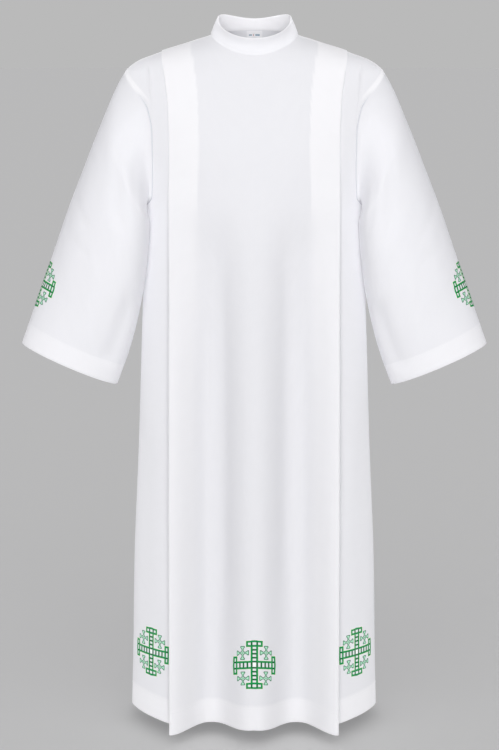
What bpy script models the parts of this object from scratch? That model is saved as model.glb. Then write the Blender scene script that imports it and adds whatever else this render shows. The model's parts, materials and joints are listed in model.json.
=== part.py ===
"""An alb: the long white robe worn under other vestments, filled out as it is when worn.

Metres, +Z up. The wearer faces -Y and the wearer's left arm is on +X. The origin is the middle of the
neck, level with the points where collar, front and back meet on the shoulders; a height is given as its
drop below that level.

Each piece is an open sheet lofted through sections, which are worked out from the sizes and tables below,
and Solidify gives it its wall. Front and back have one knife pleat each side of a centre panel: the cloth
runs out to the fold edge, doubles back under itself, and comes out again as the side panel.
"""

import math

import bpy
from mathutils import Vector

# ---------------------------------------------------------------- driving sizes
CLOTH_WALL = 0.0010
COLLAR_WALL = 0.0024
LABEL_WALL = 0.0010
SEAM_GAP = 0.0003
COLLAR_GAP = {"middle": 0.0004, "side": 0.0011}  # the collar leans in off the shoulder, so it starts higher
SEAM_FLAT = 0.004  # cloth beside a seam lies flat this far, so both rims face each other

NECK_HALF_WIDTH = 0.0885
SHOULDER_DROP = 0.0755  # outer end of the shoulder seam, where the sleeve begins
UNDERARM_DROP = 0.350
HEM_DROP = 1.462

PLEAT_DEPTH = 0.060
PLEAT_FREE = (0.10, 0.30)  # drops between which the folds go from pressed flat to hanging
FOLD_TOP_DROP = 0.035  # about where the fold edge meets the shoulder seam
LAYERS_PART = 0.15  # share of the fold edge's distance over which the layers part, from the neck outwards
NECK_COLUMNS = 0.6  # share of the centre panel's columns that end on the neckline
NECK_COLUMNS_SPREAD = 0.6  # share of the way to the underarm by which those columns are evenly spaced
NECK_ROW_SHARE = 0.3  # place of the extra row below the neckline, between the first two
NECK_CURVE = 0.85
NAPE_CURVE = 1.5
NAPE_FADE = 0.12

COLLAR_TOP_HALF_WIDTH = 0.0735
COLLAR_TOP_DEPTH = {"front": 0.068, "back": 0.066}
COLLAR_TOP_RISE = {"front": -0.0069, "side": 0.0380, "back": 0.0328}
COLLAR_TOP_CURVE = {"front": 1.0, "back": 2.0}

LABEL_SIZE = (0.033, 0.024)
LABEL_BELOW_SEAM = 0.003
LABEL_CLEAR = 0.0010

SLEEVE_FREE = 0.2  # share of the sleeve's length over which it turns from the armhole into a tube
SLEEVE_CLEAR = 0.0045
SLEEVE_CLEAR_BY = {"over": 0.6, "under": 0.15}  # share of SLEEVE_FREE by which the sleeve has that clearance
SLEEVE_FLAT_ANGLE = 0.12  # ring angle that the flat row beside the shoulder seam runs to
UNDERARM_TURN = (1.8, 2.6)  # ring angles between which the sleeve starts to lie against the body's side
SHOULDER_LIFT = 0.030  # fulness of the sleeve's head beyond the shoulder point
SLEEVE_TILT = 0.05  # the arm hangs a little forward, so the front of each ring sits higher

# ---------------------------------------------------------------- columns and rows of the meshes
CENTRE_STEPS = 10
UNDERLAY_STEPS = 2
TURN_STEPS = 3
SIDE_SHARES = (0.34, 0.64, 0.86)
YOKE_STEPS = 10
SKIRT_STEPS = 6
SLEEVE_PLACES = (0, 0.012, 0.035, 0.07, 0.12, 0.2, 0.32, 0.46, 0.62, 0.8, 1)
COLLAR_STEPS = 3
LABEL_STEPS = (4, 2)
HALVINGS = 40  # of the search along the shoulder line
SLOPE_STEP = 0.0005  # over which the body's slope from section to section is taken
ALONG_STEP = 0.01  # over which the sleeve's direction is taken

# ---------------------------------------------------------------- finishes: colour and roughness
FINISHES = {
    "white_cloth": ((0.86, 0.87, 0.89), 0.85),
    "collar_cloth": ((0.90, 0.90, 0.92), 0.85),
    "label_tape": ((0.88, 0.88, 0.88), 0.55),
}


class Table:
    """Rows of sizes under named columns, read between the rows on a smooth line that never overshoots."""

    def __init__(self, columns, *rows):
        self.places = [row[0] for row in rows]
        self.columns = {}
        for index, name in enumerate(columns.split()):
            values = [row[index] for row in rows]
            self.columns[name] = (values, self._slopes(values))

    def _slopes(self, values):
        places = self.places
        steps = [
            (values[i + 1] - values[i]) / (places[i + 1] - places[i])
            for i in range(len(values) - 1)
        ]
        inner = [
            2 * before * after / (before + after) if before * after > 0 else 0.0
            for before, after in zip(steps, steps[1:])
        ]
        return [steps[0], *inner, steps[-1]]

    def at(self, name, place):
        values, slopes = self.columns[name]
        place = min(max(place, self.places[0]), self.places[-1])
        i = max(k for k in range(len(self.places) - 1) if self.places[k] <= place)
        width = self.places[i + 1] - self.places[i]
        t = (place - self.places[i]) / width
        return (
            values[i] * (1 + 2 * t) * (1 - t) ** 2
            + slopes[i] * width * t * (1 - t) ** 2
            + values[i + 1] * t * t * (3 - 2 * t)
            + slopes[i + 1] * width * t * t * (t - 1)
        )


# Half the body's width, seen from the front: the shoulder line, then the side seam.
OUTLINE = Table(
    "drop half_width",
    (0.0000, 0.0885),
    (0.0062, 0.1040),
    (0.0185, 0.1415),
    (0.0302, 0.1805),
    (0.0383, 0.2030),
    (0.0503, 0.2350),
    (0.0665, 0.2585),
    (0.0755, 0.2655),
    (0.1300, 0.2740),
    (0.2000, 0.2670),
    (0.2800, 0.2440),
    (0.3500, 0.2290),
    (0.4500, 0.2325),
    (0.5700, 0.2375),
    (0.8775, 0.2512),
    (1.1055, 0.2635),
    (1.3400, 0.2705),
    (1.4620, 0.2750),
)

# Sections of each half of the body. body_depth and squareness give the curve that the side panel follows
# round to the side seam; centre, edge and hollow say how far forward the centre panel stands at its middle
# and at its fold edge, and how deep the flute between them is; layer is the distance between the layers of
# the pleat, and fold_x its edge.
FRONT_FORM = Table(
    "drop body_depth squareness centre edge hollow layer fold_x",
    (0.0000, 0.0620, 2.10, 0.062, 0.040, 0.000, 0.0014, 0.1900),
    (0.0400, 0.0850, 2.10, 0.085, 0.060, 0.000, 0.0014, 0.1870),
    (0.0830, 0.1000, 2.15, 0.100, 0.080, 0.000, 0.0014, 0.1791),
    (0.1470, 0.1150, 2.20, 0.115, 0.098, 0.000, 0.0014, 0.1722),
    (0.2200, 0.1225, 2.20, 0.123, 0.100, 0.000, 0.0016, 0.1710),
    (0.3350, 0.1280, 2.15, 0.128, 0.097, 0.003, 0.0020, 0.1740),
    (0.4500, 0.1320, 2.00, 0.131, 0.103, 0.011, 0.0028, 0.1742),
    (0.7000, 0.1450, 1.80, 0.136, 0.121, 0.028, 0.0050, 0.1765),
    (1.0000, 0.1650, 1.65, 0.143, 0.142, 0.042, 0.0070, 0.1795),
    (1.2500, 0.1830, 1.55, 0.149, 0.157, 0.049, 0.0085, 0.1815),
    (1.4620, 0.2000, 1.48, 0.155, 0.170, 0.054, 0.0095, 0.1830),
)
BACK_FORM = Table(
    "drop body_depth squareness centre edge hollow layer fold_x",
    (0.0000, 0.0720, 2.10, 0.072, 0.045, 0.000, 0.0014, 0.1850),
    (0.0400, 0.0920, 2.10, 0.092, 0.064, 0.000, 0.0014, 0.1820),
    (0.0830, 0.1060, 2.15, 0.106, 0.084, 0.000, 0.0014, 0.1740),
    (0.1470, 0.1180, 2.20, 0.118, 0.099, 0.000, 0.0014, 0.1670),
    (0.2200, 0.1230, 2.20, 0.124, 0.101, 0.000, 0.0016, 0.1650),
    (0.3350, 0.1250, 2.15, 0.125, 0.097, 0.004, 0.0020, 0.1665),
    (0.4500, 0.1270, 2.00, 0.126, 0.100, 0.012, 0.0028, 0.1670),
    (0.7000, 0.1400, 1.80, 0.132, 0.117, 0.027, 0.0050, 0.1695),
    (1.0000, 0.1600, 1.65, 0.140, 0.138, 0.040, 0.0070, 0.1720),
    (1.2500, 0.1780, 1.55, 0.147, 0.153, 0.047, 0.0085, 0.1745),
    (1.4620, 0.1950, 1.50, 0.154, 0.166, 0.052, 0.0095, 0.1760),
)

# The armhole's edge, as the distance of the front's and the back's seam from the middle.
ARMHOLE = Table(
    "drop front_x back_x",
    (0.0755, 0.2655, 0.2655),
    (0.0850, 0.2600, 0.2610),
    (0.1470, 0.2140, 0.2330),
    (0.1950, 0.2060, 0.2190),
    (0.2500, 0.2060, 0.2160),
    (0.3250, 0.2100, 0.2180),
    (0.3500, 0.2290, 0.2290),
)

# A sleeve from the shoulder point (0) to the cuff (1): its upper and its lower edge, seen from the front, how
# far forward (-y) each lies, and how far the ring swells to the front and to the back.
SLEEVE_FORM = Table(
    "along top_x top_y top_drop under_x under_y under_drop front_swell back_swell",
    (0.00, 0.2655, 0.000, 0.0755, 0.2290, 0.000, 0.350, 0.084, 0.084),
    (0.20, 0.3184, -0.006, 0.1854, 0.2155, -0.052, 0.380, 0.084, 0.096),
    (0.35, 0.3529, -0.011, 0.2690, 0.2220, -0.053, 0.458, 0.082, 0.094),
    (0.50, 0.3862, -0.016, 0.3520, 0.2335, -0.050, 0.532, 0.078, 0.086),
    (0.65, 0.4170, -0.021, 0.4370, 0.2490, -0.045, 0.600, 0.072, 0.078),
    (0.80, 0.4492, -0.025, 0.5240, 0.2665, -0.040, 0.658, 0.066, 0.070),
    (1.00, 0.4895, -0.030, 0.6330, 0.2900, -0.035, 0.7205, 0.058, 0.060),
)

PANELS = {
    "front": {"form": FRONT_FORM, "armhole": "front_x", "neck_drop": 0.0390, "nape": 0.000, "facing": -1},
    "back": {"form": BACK_FORM, "armhole": "back_x", "neck_drop": 0.0040, "nape": 0.0145, "facing": 1},
}


# ---------------------------------------------------------------- helpers
def ease(value, start, end):
    """0 before start, 1 after end and a smooth step between them."""
    t = min(max((value - start) / (end - start), 0.0), 1.0)
    return t * t * (3 - 2 * t)


def mix(a, b, share):
    return a * (1 - share) + b * share


def shares(steps):
    return [i / steps for i in range(steps + 1)]


def shoulder_drop(x):
    """How far down the shoulder line is at this distance from the middle."""
    low, high = 0.0, SHOULDER_DROP
    for _ in range(HALVINGS):
        middle = (low + high) / 2
        if OUTLINE.at("half_width", middle) < x:
            low = middle
        else:
            high = middle
    return low


def drop_at(top, down):
    """The drop of a column that starts at top: down is 0 there, 1 at the underarm and 2 at the hem."""
    if down <= 1:
        return mix(top, UNDERARM_DROP, down)
    return mix(UNDERARM_DROP, HEM_DROP, down - 1)


# ---------------------------------------------------------------- the body's surface
def body_depth(panel, x, drop):
    """How far the body's curve stands forward at x, on a section that is a rounded box from front to side."""
    form = panel["form"]
    square = form.at("squareness", drop)
    across = min(abs(x) / OUTLINE.at("half_width", drop), 1.0)
    return form.at("body_depth", drop) * (1 - across**square) ** (1 / square)


def body_normal(panel, x, drop):
    """The way out of the body's curve at x, square to it across and down."""
    form = panel["form"]
    depth = body_depth(panel, x, drop)

    def fill(drop_here):
        square = form.at("squareness", drop_here)
        across = x / OUTLINE.at("half_width", drop_here)
        return across**square + (depth / form.at("body_depth", drop_here)) ** square

    square = form.at("squareness", drop)
    half_width = OUTLINE.at("half_width", drop)
    front = form.at("body_depth", drop)
    above, below = max(drop - SLOPE_STEP, 0), drop + SLOPE_STEP
    return Vector(
        (
            square / half_width * (x / half_width) ** (square - 1),
            -square / front * (depth / front) ** (square - 1),
            (fill(above) - fill(below)) / (below - above),
        )
    ).normalized()


def centre_line(form, x, drop):
    """How far the hanging centre panel stands forward: its middle, its fold edge and the flute between."""
    s = x / form.at("fold_x", drop)
    flat = mix(form.at("centre", drop), form.at("edge", drop), s * s)
    return flat - form.at("hollow", drop) * math.sin(math.pi * s) ** 2


def cloth_point(panel, x, drop, layer):
    """A point of the cloth: layer 2 is the centre panel, 1 the cloth turned under it, 0 the side panel."""
    form = panel["form"]
    fold = form.at("fold_x", drop)
    gap = form.at("layer", drop)
    neck_share = NECK_HALF_WIDTH / fold
    lift = layer * gap * ease(x / fold, neck_share, neck_share + LAYERS_PART)
    pressed = Vector((x, -body_depth(panel, x, drop), -drop)) + body_normal(panel, x, drop) * lift
    if layer:
        forward = centre_line(form, x, drop) - (2 - layer) * gap
    elif x < fold:
        inner = fold - PLEAT_DEPTH
        forward = mix(
            centre_line(form, inner, drop) - 2 * gap,
            body_depth(panel, fold, drop),
            (x - inner) / PLEAT_DEPTH,
        )
    else:
        forward = body_depth(panel, x, drop)
    hanging = Vector((x, -forward, -drop))
    return pressed.lerp(hanging, ease(drop, *PLEAT_FREE))


def top_drop(panel, x):
    """Drop of the panel's upper edge: the neckline, then the shoulder seam."""
    if x < NECK_HALF_WIDTH:
        return panel["neck_drop"] * (1 - (x / NECK_HALF_WIDTH) ** 2) ** NECK_CURVE
    return shoulder_drop(x)


def nape_rise(panel, x_top, fallen):
    """The back rises to the nape between the shoulder seams."""
    across = min(x_top / NECK_HALF_WIDTH, 1.0)
    return panel["nape"] * (1 - across**2) ** NAPE_CURVE * (1 - ease(fallen, 0, NAPE_FADE))


def fold_top(panel):
    """How far out the fold edge is on the shoulder seam."""
    form = panel["form"]
    return form.at("fold_x", shoulder_drop(form.at("fold_x", FOLD_TOP_DROP)))


def at_fold(panel, name, down):
    """A size from the panel's table, read down the line of the fold edge."""
    return panel["form"].at(name, drop_at(shoulder_drop(fold_top(panel)), down))


def centre_x(panel, share, down):
    """Where a column of the centre panel runs: the neck's columns end evenly round the neckline."""
    fold = at_fold(panel, "fold_x", down) - at_fold(panel, "layer", down) / 2
    neck = NECK_HALF_WIDTH / (fold_top(panel) - panel["form"].at("layer", 0) / 2)
    if share < NECK_COLUMNS:
        at_top = neck * math.sin(math.pi / 2 * share / NECK_COLUMNS)
    else:
        at_top = mix(neck, 1, (share - NECK_COLUMNS) / (1 - NECK_COLUMNS))
    return fold * mix(at_top, share, ease(down, 0, NECK_COLUMNS_SPREAD))


def centre_column(panel, share, down):
    """A point of the centre panel: share is 0 at its middle and 1 at the fold edge."""
    x_top = centre_x(panel, share, 0)
    top = top_drop(panel, x_top)
    drop = drop_at(top, down)
    point = cloth_point(panel, centre_x(panel, share, down), drop, 2)
    point.z += nape_rise(panel, x_top, drop - top)
    return point


def underlay_column(panel, share, down, layer):
    """A point of layer 1 or 0 under the centre panel: share is 0 at the fold edge and 1 at the inner fold."""
    turn = at_fold(panel, "layer", down) / 2
    outer = 0 if layer == 0 else turn
    reach = outer + (PLEAT_DEPTH - turn - outer) * share
    drop = drop_at(shoulder_drop(fold_top(panel) - reach), down)
    return cloth_point(panel, at_fold(panel, "fold_x", down) - reach, drop, layer)


def edge_x(panel, down):
    """The panel's side edge: the armhole, then the side seam."""
    drop = drop_at(SHOULDER_DROP, down)
    if down <= 1:
        return ARMHOLE.at(panel["armhole"], drop)
    return OUTLINE.at("half_width", drop)


def side_column(panel, share, down):
    """A point of the side panel: share is 0 under the fold edge and 1 at the armhole or side seam."""
    x_top = mix(fold_top(panel), OUTLINE.at("half_width", SHOULDER_DROP), share)
    drop = drop_at(shoulder_drop(x_top), down)
    x = mix(at_fold(panel, "fold_x", down), edge_x(panel, down), share)
    return cloth_point(panel, x, drop, 0)


def edge_point(panel, down):
    return cloth_point(panel, edge_x(panel, down), drop_at(SHOULDER_DROP, down), 0)


# ---------------------------------------------------------------- rows of a panel
def yoke_downs():
    """Rows from the shoulder to the underarm, closer together at both ends, where the armhole turns."""
    return [(1 - math.cos(math.pi * share)) / 2 for share in shares(YOKE_STEPS)]


def armhole_edge(panel):
    """The armhole's points from the shoulder to the underarm, with the one beside the shoulder seam."""
    points = [edge_point(panel, down) for down in yoke_downs()]
    points[0].y = 0
    points[-1].y = 0
    return [points[0], points[0] + Vector((0, -SEAM_FLAT, 0)), *points[1:]]


def away_from_edge(panel, points):
    """At each armhole point, the way the cloth would go on past its edge, square to that edge."""
    ways = []
    for i, point in enumerate(points):
        before = points[i - 1] if i else points[1] * Vector((1, -1, 1))
        after = points[i + 1] if i + 1 < len(points) else points[-2] * Vector((1, -1, 1))
        normal = body_normal(panel, point.x, -point.z)
        ways.append(normal.cross(after - before).normalized())
    return ways


def turned(start, end, outward, steps=TURN_STEPS):
    """Points round a fold from one layer to the next, without its two ends."""
    middle = (start + end) / 2
    radius = (start - end).length / 2
    return [
        middle
        + outward * radius * math.sin(math.pi * share)
        + (start - end) / 2 * math.cos(math.pi * share)
        for share in shares(steps)[1:-1]
    ]


def half_row(panel, down):
    """A row of the panel, from its middle to just short of its side edge."""
    centre = [centre_column(panel, share, down) for share in shares(CENTRE_STEPS)]
    under = [underlay_column(panel, share, down, 1) for share in shares(UNDERLAY_STEPS)]
    inner = underlay_column(panel, 1, down, 0)
    side = [side_column(panel, share, down) for share in (0, *SIDE_SHARES)]
    outward = (centre[-1] - centre[-2]).normalized()
    return [
        *centre,
        *turned(centre[-1], under[0], outward),
        *under,
        *turned(under[-1], inner, -outward),
        inner,
        *side,
    ]


def panel_rows(name):
    """Half of a panel as rows of points, from the neck and the shoulder seam down to the hem."""
    panel = PANELS[name]
    armhole = armhole_edge(panel)
    away = away_from_edge(panel, armhole)
    downs = [*yoke_downs(), *(1 + share for share in shares(SKIRT_STEPS)[1:])]
    rows = []
    for index, down in enumerate(downs):
        row = half_row(panel, down)
        if down < 1:
            armhole_index = index + 1 if index else 0
            edge, way = armhole[armhole_index], away[armhole_index]
        else:
            edge, way = edge_point(panel, down), Vector((0, 1, 0))
            edge.y = 0
        rows.append([*row, edge - way * SEAM_FLAT, edge])
    neck_end = round(CENTRE_STEPS * NECK_COLUMNS)
    flat = [point.lerp(below, NECK_ROW_SHARE) for point, below in zip(rows[0][: neck_end + 1], rows[1])]
    flat += [point + Vector((0, -SEAM_FLAT, 0)) for point in rows[0][neck_end + 1 :]]
    flat[-1] = armhole[1]
    flat[-2] = armhole[1] - away[1] * SEAM_FLAT
    rows.insert(1, flat)
    for row in rows:
        for point in row:
            point.y = min(point.y, -SEAM_GAP / 2) * -panel["facing"]
    return rows


def both_sides(row):
    """A half row and its mirror image, from the -X edge to the +X edge."""
    return [Vector((-point.x, point.y, point.z)) for point in reversed(row[1:])] + row


# ---------------------------------------------------------------- sleeves
def sleeve_ring(along, angle):
    """A point of the tube: angle 0 is its upper edge, a quarter turn its front, a half turn its lower."""

    def edge(which):
        x, y, drop = (SLEEVE_FORM.at(f"{which}_{name}", along) for name in ("x", "y", "drop"))
        return Vector((x, y, -drop))

    top, under = edge("top"), edge("under")
    point = (top + under) / 2 + (top - under) / 2 * math.cos(angle)
    side = math.sin(angle)
    swell = SLEEVE_FORM.at("front_swell" if side > 0 else "back_swell", along) * side
    return point + Vector((0, -swell, SLEEVE_TILT * swell))


def clear_of_body(point, clearance):
    """The point, moved out from the body's curve until it has this clearance."""
    panel = PANELS["front" if point.y < 0 else "back"]
    form, drop = panel["form"], -point.z
    square = form.at("squareness", drop)
    inside = (
        (abs(point.x) / (OUTLINE.at("half_width", drop) + clearance)) ** square
        + (abs(point.y) / (form.at("body_depth", drop) + clearance)) ** square
    )
    if inside >= 1:
        return point
    out = inside ** (-1 / square)
    return Vector((point.x * out, point.y * out, point.z))


def sleeve_starts():
    """Where the sleeve leaves the armhole, the way it leaves, and the angle of the ring it runs to."""
    starts = []
    angles = [0, SLEEVE_FLAT_ANGLE, *(math.pi * share for share in shares(YOKE_STEPS)[1:])]
    for name, panel in PANELS.items():
        edge = armhole_edge(panel)
        ways = away_from_edge(panel, edge)
        facing = Vector((1, -panel["facing"], 1))
        half = [
            (point * facing, way * facing, angle * -panel["facing"])
            for point, way, angle in zip(edge, ways, angles)
        ]
        starts += half if name == "front" else half[-2:0:-1]
    return starts


def sleeve_point(start, way, angle, along):
    """A point on a line of the sleeve, which leaves the armhole straight and bends into the hanging tube."""
    if along >= SLEEVE_FREE:
        return clear_of_body(sleeve_ring(along, angle), SLEEVE_CLEAR)
    end = sleeve_ring(SLEEVE_FREE, angle)
    end_way = (sleeve_ring(SLEEVE_FREE + ALONG_STEP, angle) - end) / ALONG_STEP * SLEEVE_FREE
    start = start + way * SEAM_GAP
    start_way = way * (end - start).length
    start_way += Vector((SHOULDER_LIFT, 0, SHOULDER_LIFT)) * max(math.cos(angle), 0)
    t = along / SLEEVE_FREE
    point = (
        start * (1 + 2 * t) * (1 - t) ** 2
        + start_way * t * (1 - t) ** 2
        + end * t * t * (3 - 2 * t)
        + end_way * t * t * (t - 1)
    )
    clear_by = mix(SLEEVE_CLEAR_BY["over"], SLEEVE_CLEAR_BY["under"], ease(abs(angle), *UNDERARM_TURN))
    return clear_of_body(point, SLEEVE_CLEAR * ease(t, 0, clear_by))


def sleeve_rows():
    """The sleeve as rings, with one beside the armhole that keeps the seam's cloth flat."""
    starts = sleeve_starts()
    rows = [[sleeve_point(*start, along) for start in starts] for along in SLEEVE_PLACES]
    rows[1] = [point + way * (SEAM_GAP + SEAM_FLAT) for point, way, _ in starts]
    return rows


# ---------------------------------------------------------------- collar and label
def neckline(name):
    """The neckline from its middle to the shoulder seam, as the columns of the panel end on it."""
    return panel_rows(name)[0][: round(CENTRE_STEPS * NECK_COLUMNS) + 1]


def collar_rows():
    """The collar as rings from just above the neckline to its top edge."""
    ring = []
    for name in PANELS:
        half = []
        for base in neckline(name):
            turn = math.asin(min(base.x / NECK_HALF_WIDTH, 1.0))
            rise = mix(
                COLLAR_TOP_RISE["side"],
                COLLAR_TOP_RISE[name],
                math.cos(turn) ** COLLAR_TOP_CURVE[name],
            )
            top = Vector(
                (
                    COLLAR_TOP_HALF_WIDTH * math.sin(turn),
                    PANELS[name]["facing"] * COLLAR_TOP_DEPTH[name] * math.cos(turn),
                    rise,
                )
            )
            way = (top - base).normalized()
            gap = mix(COLLAR_GAP["middle"], COLLAR_GAP["side"], math.sin(turn) ** 2)
            half.append((base + way * gap, top))
        ring.append(half)
    front, back = ring
    shoulder = (Vector((front[-1][0].x, 0, front[-1][0].z)), Vector((front[-1][1].x, 0, front[-1][1].z)))
    right = [*front[:-1], shoulder, *reversed(back[:-1])]
    mirror = Vector((-1, 1, 1))
    left = [(base * mirror, top * mirror) for base, top in reversed(right[1:-1])]
    rows = []
    for share in shares(COLLAR_STEPS):
        rows.append([base.lerp(top, share) for base, top in right + left])
    return rows


def label_rows():
    """The label, made from the back panel's points and moved to its inner side."""
    panel = PANELS["back"]
    width, height = LABEL_SIZE
    inwards = CLOTH_WALL / 2 + SEAM_GAP + LABEL_WALL / 2 + LABEL_CLEAR
    rows = []
    for down in shares(LABEL_STEPS[1]):
        row = []
        for across in shares(LABEL_STEPS[0]):
            x = width * (across - 0.5)
            drop = panel["neck_drop"] + LABEL_BELOW_SEAM + height * down
            point = Vector((x, -body_depth(panel, abs(x), drop), -drop))
            point += Vector((0, 1, 0)) * inwards
            point.y = -point.y
            point.z += nape_rise(panel, abs(x), drop - panel["neck_drop"])
            row.append(point)
        rows.append(row)
    return rows


# ---------------------------------------------------------------- objects
def cloth_material(name):
    color, roughness = FINISHES[name]
    material = bpy.data.materials.new(name)
    material.use_nodes = True
    shader = material.node_tree.nodes["Principled BSDF"]
    shader.inputs["Base Color"].default_value = (*color, 1)
    shader.inputs["Roughness"].default_value = roughness
    shader.inputs["Metallic"].default_value = 0.0
    return material


def sheet(name, rows, wall, material, collection, closed=False):
    """An object of quads through the rows, with its wall laid half on each side of them."""
    width = len(rows[0])
    vertices = [point for row in rows for point in row]
    spans = width if closed else width - 1
    faces = [
        (
            row * width + column,
            row * width + (column + 1) % width,
            (row + 1) * width + (column + 1) % width,
            (row + 1) * width + column,
        )
        for row in range(len(rows) - 1)
        for column in range(spans)
    ]
    mesh = bpy.data.meshes.new(name)
    mesh.from_pydata(vertices, [], faces)
    mesh.shade_smooth()
    mesh.materials.append(material)
    piece = bpy.data.objects.new(name, mesh)
    collection.objects.link(piece)
    solid = piece.modifiers.new("wall", "SOLIDIFY")
    solid.thickness = wall
    solid.offset = 0
    solid.use_even_offset = True
    return piece


def main():
    for leftover in list(bpy.data.objects):
        bpy.data.objects.remove(leftover)
    alb = bpy.data.collections.new("alb")
    bpy.context.scene.collection.children.link(alb)
    cloth = cloth_material("white_cloth")
    band = cloth_material("collar_cloth")
    tape = cloth_material("label_tape")
    for name in PANELS:
        sheet(name, [both_sides(row) for row in panel_rows(name)], CLOTH_WALL, cloth, alb)
    for name, side in (("sleeve_left", 1), ("sleeve_right", -1)):
        rows = [[point * Vector((side, 1, 1)) for point in row] for row in sleeve_rows()]
        sheet(name, rows, CLOTH_WALL, cloth, alb, closed=True)
    sheet("collar", collar_rows(), COLLAR_WALL, band, alb, closed=True)
    sheet("neck_label", label_rows(), LABEL_WALL, tape, alb)


main()
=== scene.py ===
# %% [markdown]
# # An alb, filled out as it is when worn
#
# An alb is the long white robe that goes on first, under the other vestments. It is a very plain
# garment: two body panels, two straight sleeves and a small standing collar, all in thin white cloth.
# Nearly all of its look comes from how the cloth hangs. This lesson builds it piece by piece in
# Blender: fine cloth shells with their folds, the hems and stitches, the embroidered crosses, and
# then the weave of the cloth itself.

# %% Load the frame
import json
import math
import bpy
import numpy as np
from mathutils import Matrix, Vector

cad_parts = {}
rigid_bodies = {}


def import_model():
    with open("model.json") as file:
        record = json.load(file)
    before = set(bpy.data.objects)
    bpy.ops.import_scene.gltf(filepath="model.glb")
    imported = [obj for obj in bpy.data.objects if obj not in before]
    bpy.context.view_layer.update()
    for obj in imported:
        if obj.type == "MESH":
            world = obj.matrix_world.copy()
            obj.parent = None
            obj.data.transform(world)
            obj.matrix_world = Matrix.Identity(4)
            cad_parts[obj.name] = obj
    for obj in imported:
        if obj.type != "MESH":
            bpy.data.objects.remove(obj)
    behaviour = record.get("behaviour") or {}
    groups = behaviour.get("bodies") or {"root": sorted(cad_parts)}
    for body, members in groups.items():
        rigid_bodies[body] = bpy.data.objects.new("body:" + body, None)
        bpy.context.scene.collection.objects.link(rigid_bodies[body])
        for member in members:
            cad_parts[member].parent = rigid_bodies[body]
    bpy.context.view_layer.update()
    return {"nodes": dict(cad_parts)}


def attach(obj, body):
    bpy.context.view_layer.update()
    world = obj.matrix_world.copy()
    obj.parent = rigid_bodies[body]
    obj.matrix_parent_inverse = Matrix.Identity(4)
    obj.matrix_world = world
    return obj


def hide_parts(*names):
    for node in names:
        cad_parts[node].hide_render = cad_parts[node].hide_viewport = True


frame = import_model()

print("nodes to dress:", sorted(frame["nodes"]))

# %% [markdown]
# ## The camera
#
# Straight in front of the robe and a little above its middle, tipped down by about 13 degrees. A long
# lens keeps the long robe in proportion: its top isn't much nearer than its hem.

# %% Place the camera
CAMERA_PLACE = (0.0, -3.2, 0.01)
CAMERA_TIP = 12.7  # degrees below the horizon
CAMERA_TURN = 0.18  # degrees to its left
SENSOR_HEIGHT = 36.0  # millimetres
LENS = 73.54  # millimetres

camera = bpy.data.objects.new("camera", bpy.data.cameras.new("camera"))
camera.location = CAMERA_PLACE
camera.rotation_euler = (math.radians(90 - CAMERA_TIP), 0, math.radians(CAMERA_TURN))
camera.data.sensor_fit = "VERTICAL"
camera.data.sensor_height = SENSOR_HEIGHT
camera.data.lens = LENS
bpy.context.scene.collection.objects.link(camera)
bpy.context.scene.camera = camera
print("camera", round(math.degrees(2 * math.atan(SENSOR_HEIGHT / 2 / LENS)), 1), "degrees high")

# %% [markdown]
# ## Sizes that read like a pattern sheet
#
# A pattern maker notes a robe as a table: at this drop below the shoulder it is so wide, so deep. The
# same tables drive the meshes here. `Table` reads a value anywhere between two rows along a smooth
# line that never overshoots, so a side seam stays a clean curve. numpy reads whole rows of points at
# once, which keeps a fine mesh quick to make.


# %% Reading a table smoothly
def mix(a, b, share):
    return a * (1 - share) + b * share


def ease(value, start, end):
    """0 before start, 1 after end and a smooth step between them."""
    t = np.clip((value - start) / (end - start), 0.0, 1.0)
    return t * t * (3 - 2 * t)


def unit(vectors):
    return vectors / np.maximum(np.linalg.norm(vectors, axis=-1, keepdims=True), 1e-12)


def along_bend(start, start_way, end, end_way, t):
    """A smooth bend from start, leaving by start_way, to end, arriving by end_way."""
    return (
        start * (1 + 2 * t) * (1 - t) ** 2
        + start_way * t * (1 - t) ** 2
        + end * t * t * (3 - 2 * t)
        + end_way * t * t * (t - 1)
    )


class Table:
    """Rows of sizes under named columns, read anywhere between the rows."""

    def __init__(self, columns, *rows):
        cells = np.array(rows, float)
        self.places = cells[:, 0]
        self.columns = dict(zip(columns.split(), cells.T))
        self.slopes = {name: self._slopes(values) for name, values in self.columns.items()}

    def _slopes(self, values):
        steps = np.diff(values) / np.diff(self.places)
        before, after = steps[:-1], steps[1:]
        one_way = before * after > 0
        inner = np.where(one_way, 2 * before * after / np.where(one_way, before + after, 1), 0)
        return np.concatenate([steps[:1], inner, steps[-1:]])

    def at(self, name, place):
        place = np.clip(place, self.places[0], self.places[-1])
        i = np.clip(np.searchsorted(self.places, place, side="right") - 1, 0, len(self.places) - 2)
        width = self.places[i + 1] - self.places[i]
        values, slopes = self.columns[name], self.slopes[name]
        t = (place - self.places[i]) / width
        return along_bend(values[i], slopes[i] * width, values[i + 1], slopes[i + 1] * width, t)


# %% The robe's outline and its sections
NECK_HALF_WIDTH = 0.0885
SHOULDER_DROP = 0.0755  # outer end of the shoulder seam, where the sleeve begins
UNDERARM_DROP = 0.350
HEM_DROP = 1.462

# Half the body's width, seen from the front: the shoulder line, then the side seam.
OUTLINE = Table(
    "drop half_width",
    (0.0000, 0.0885),
    (0.0062, 0.1040),
    (0.0185, 0.1415),
    (0.0302, 0.1805),
    (0.0383, 0.2030),
    (0.0503, 0.2350),
    (0.0665, 0.2585),
    (0.0755, 0.2655),
    (0.1300, 0.2740),
    (0.2000, 0.2670),
    (0.2800, 0.2440),
    (0.3500, 0.2290),
    (0.4500, 0.2325),
    (0.5700, 0.2375),
    (0.8775, 0.2512),
    (1.1055, 0.2635),
    (1.3400, 0.2705),
    (1.4620, 0.2750),
)

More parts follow.
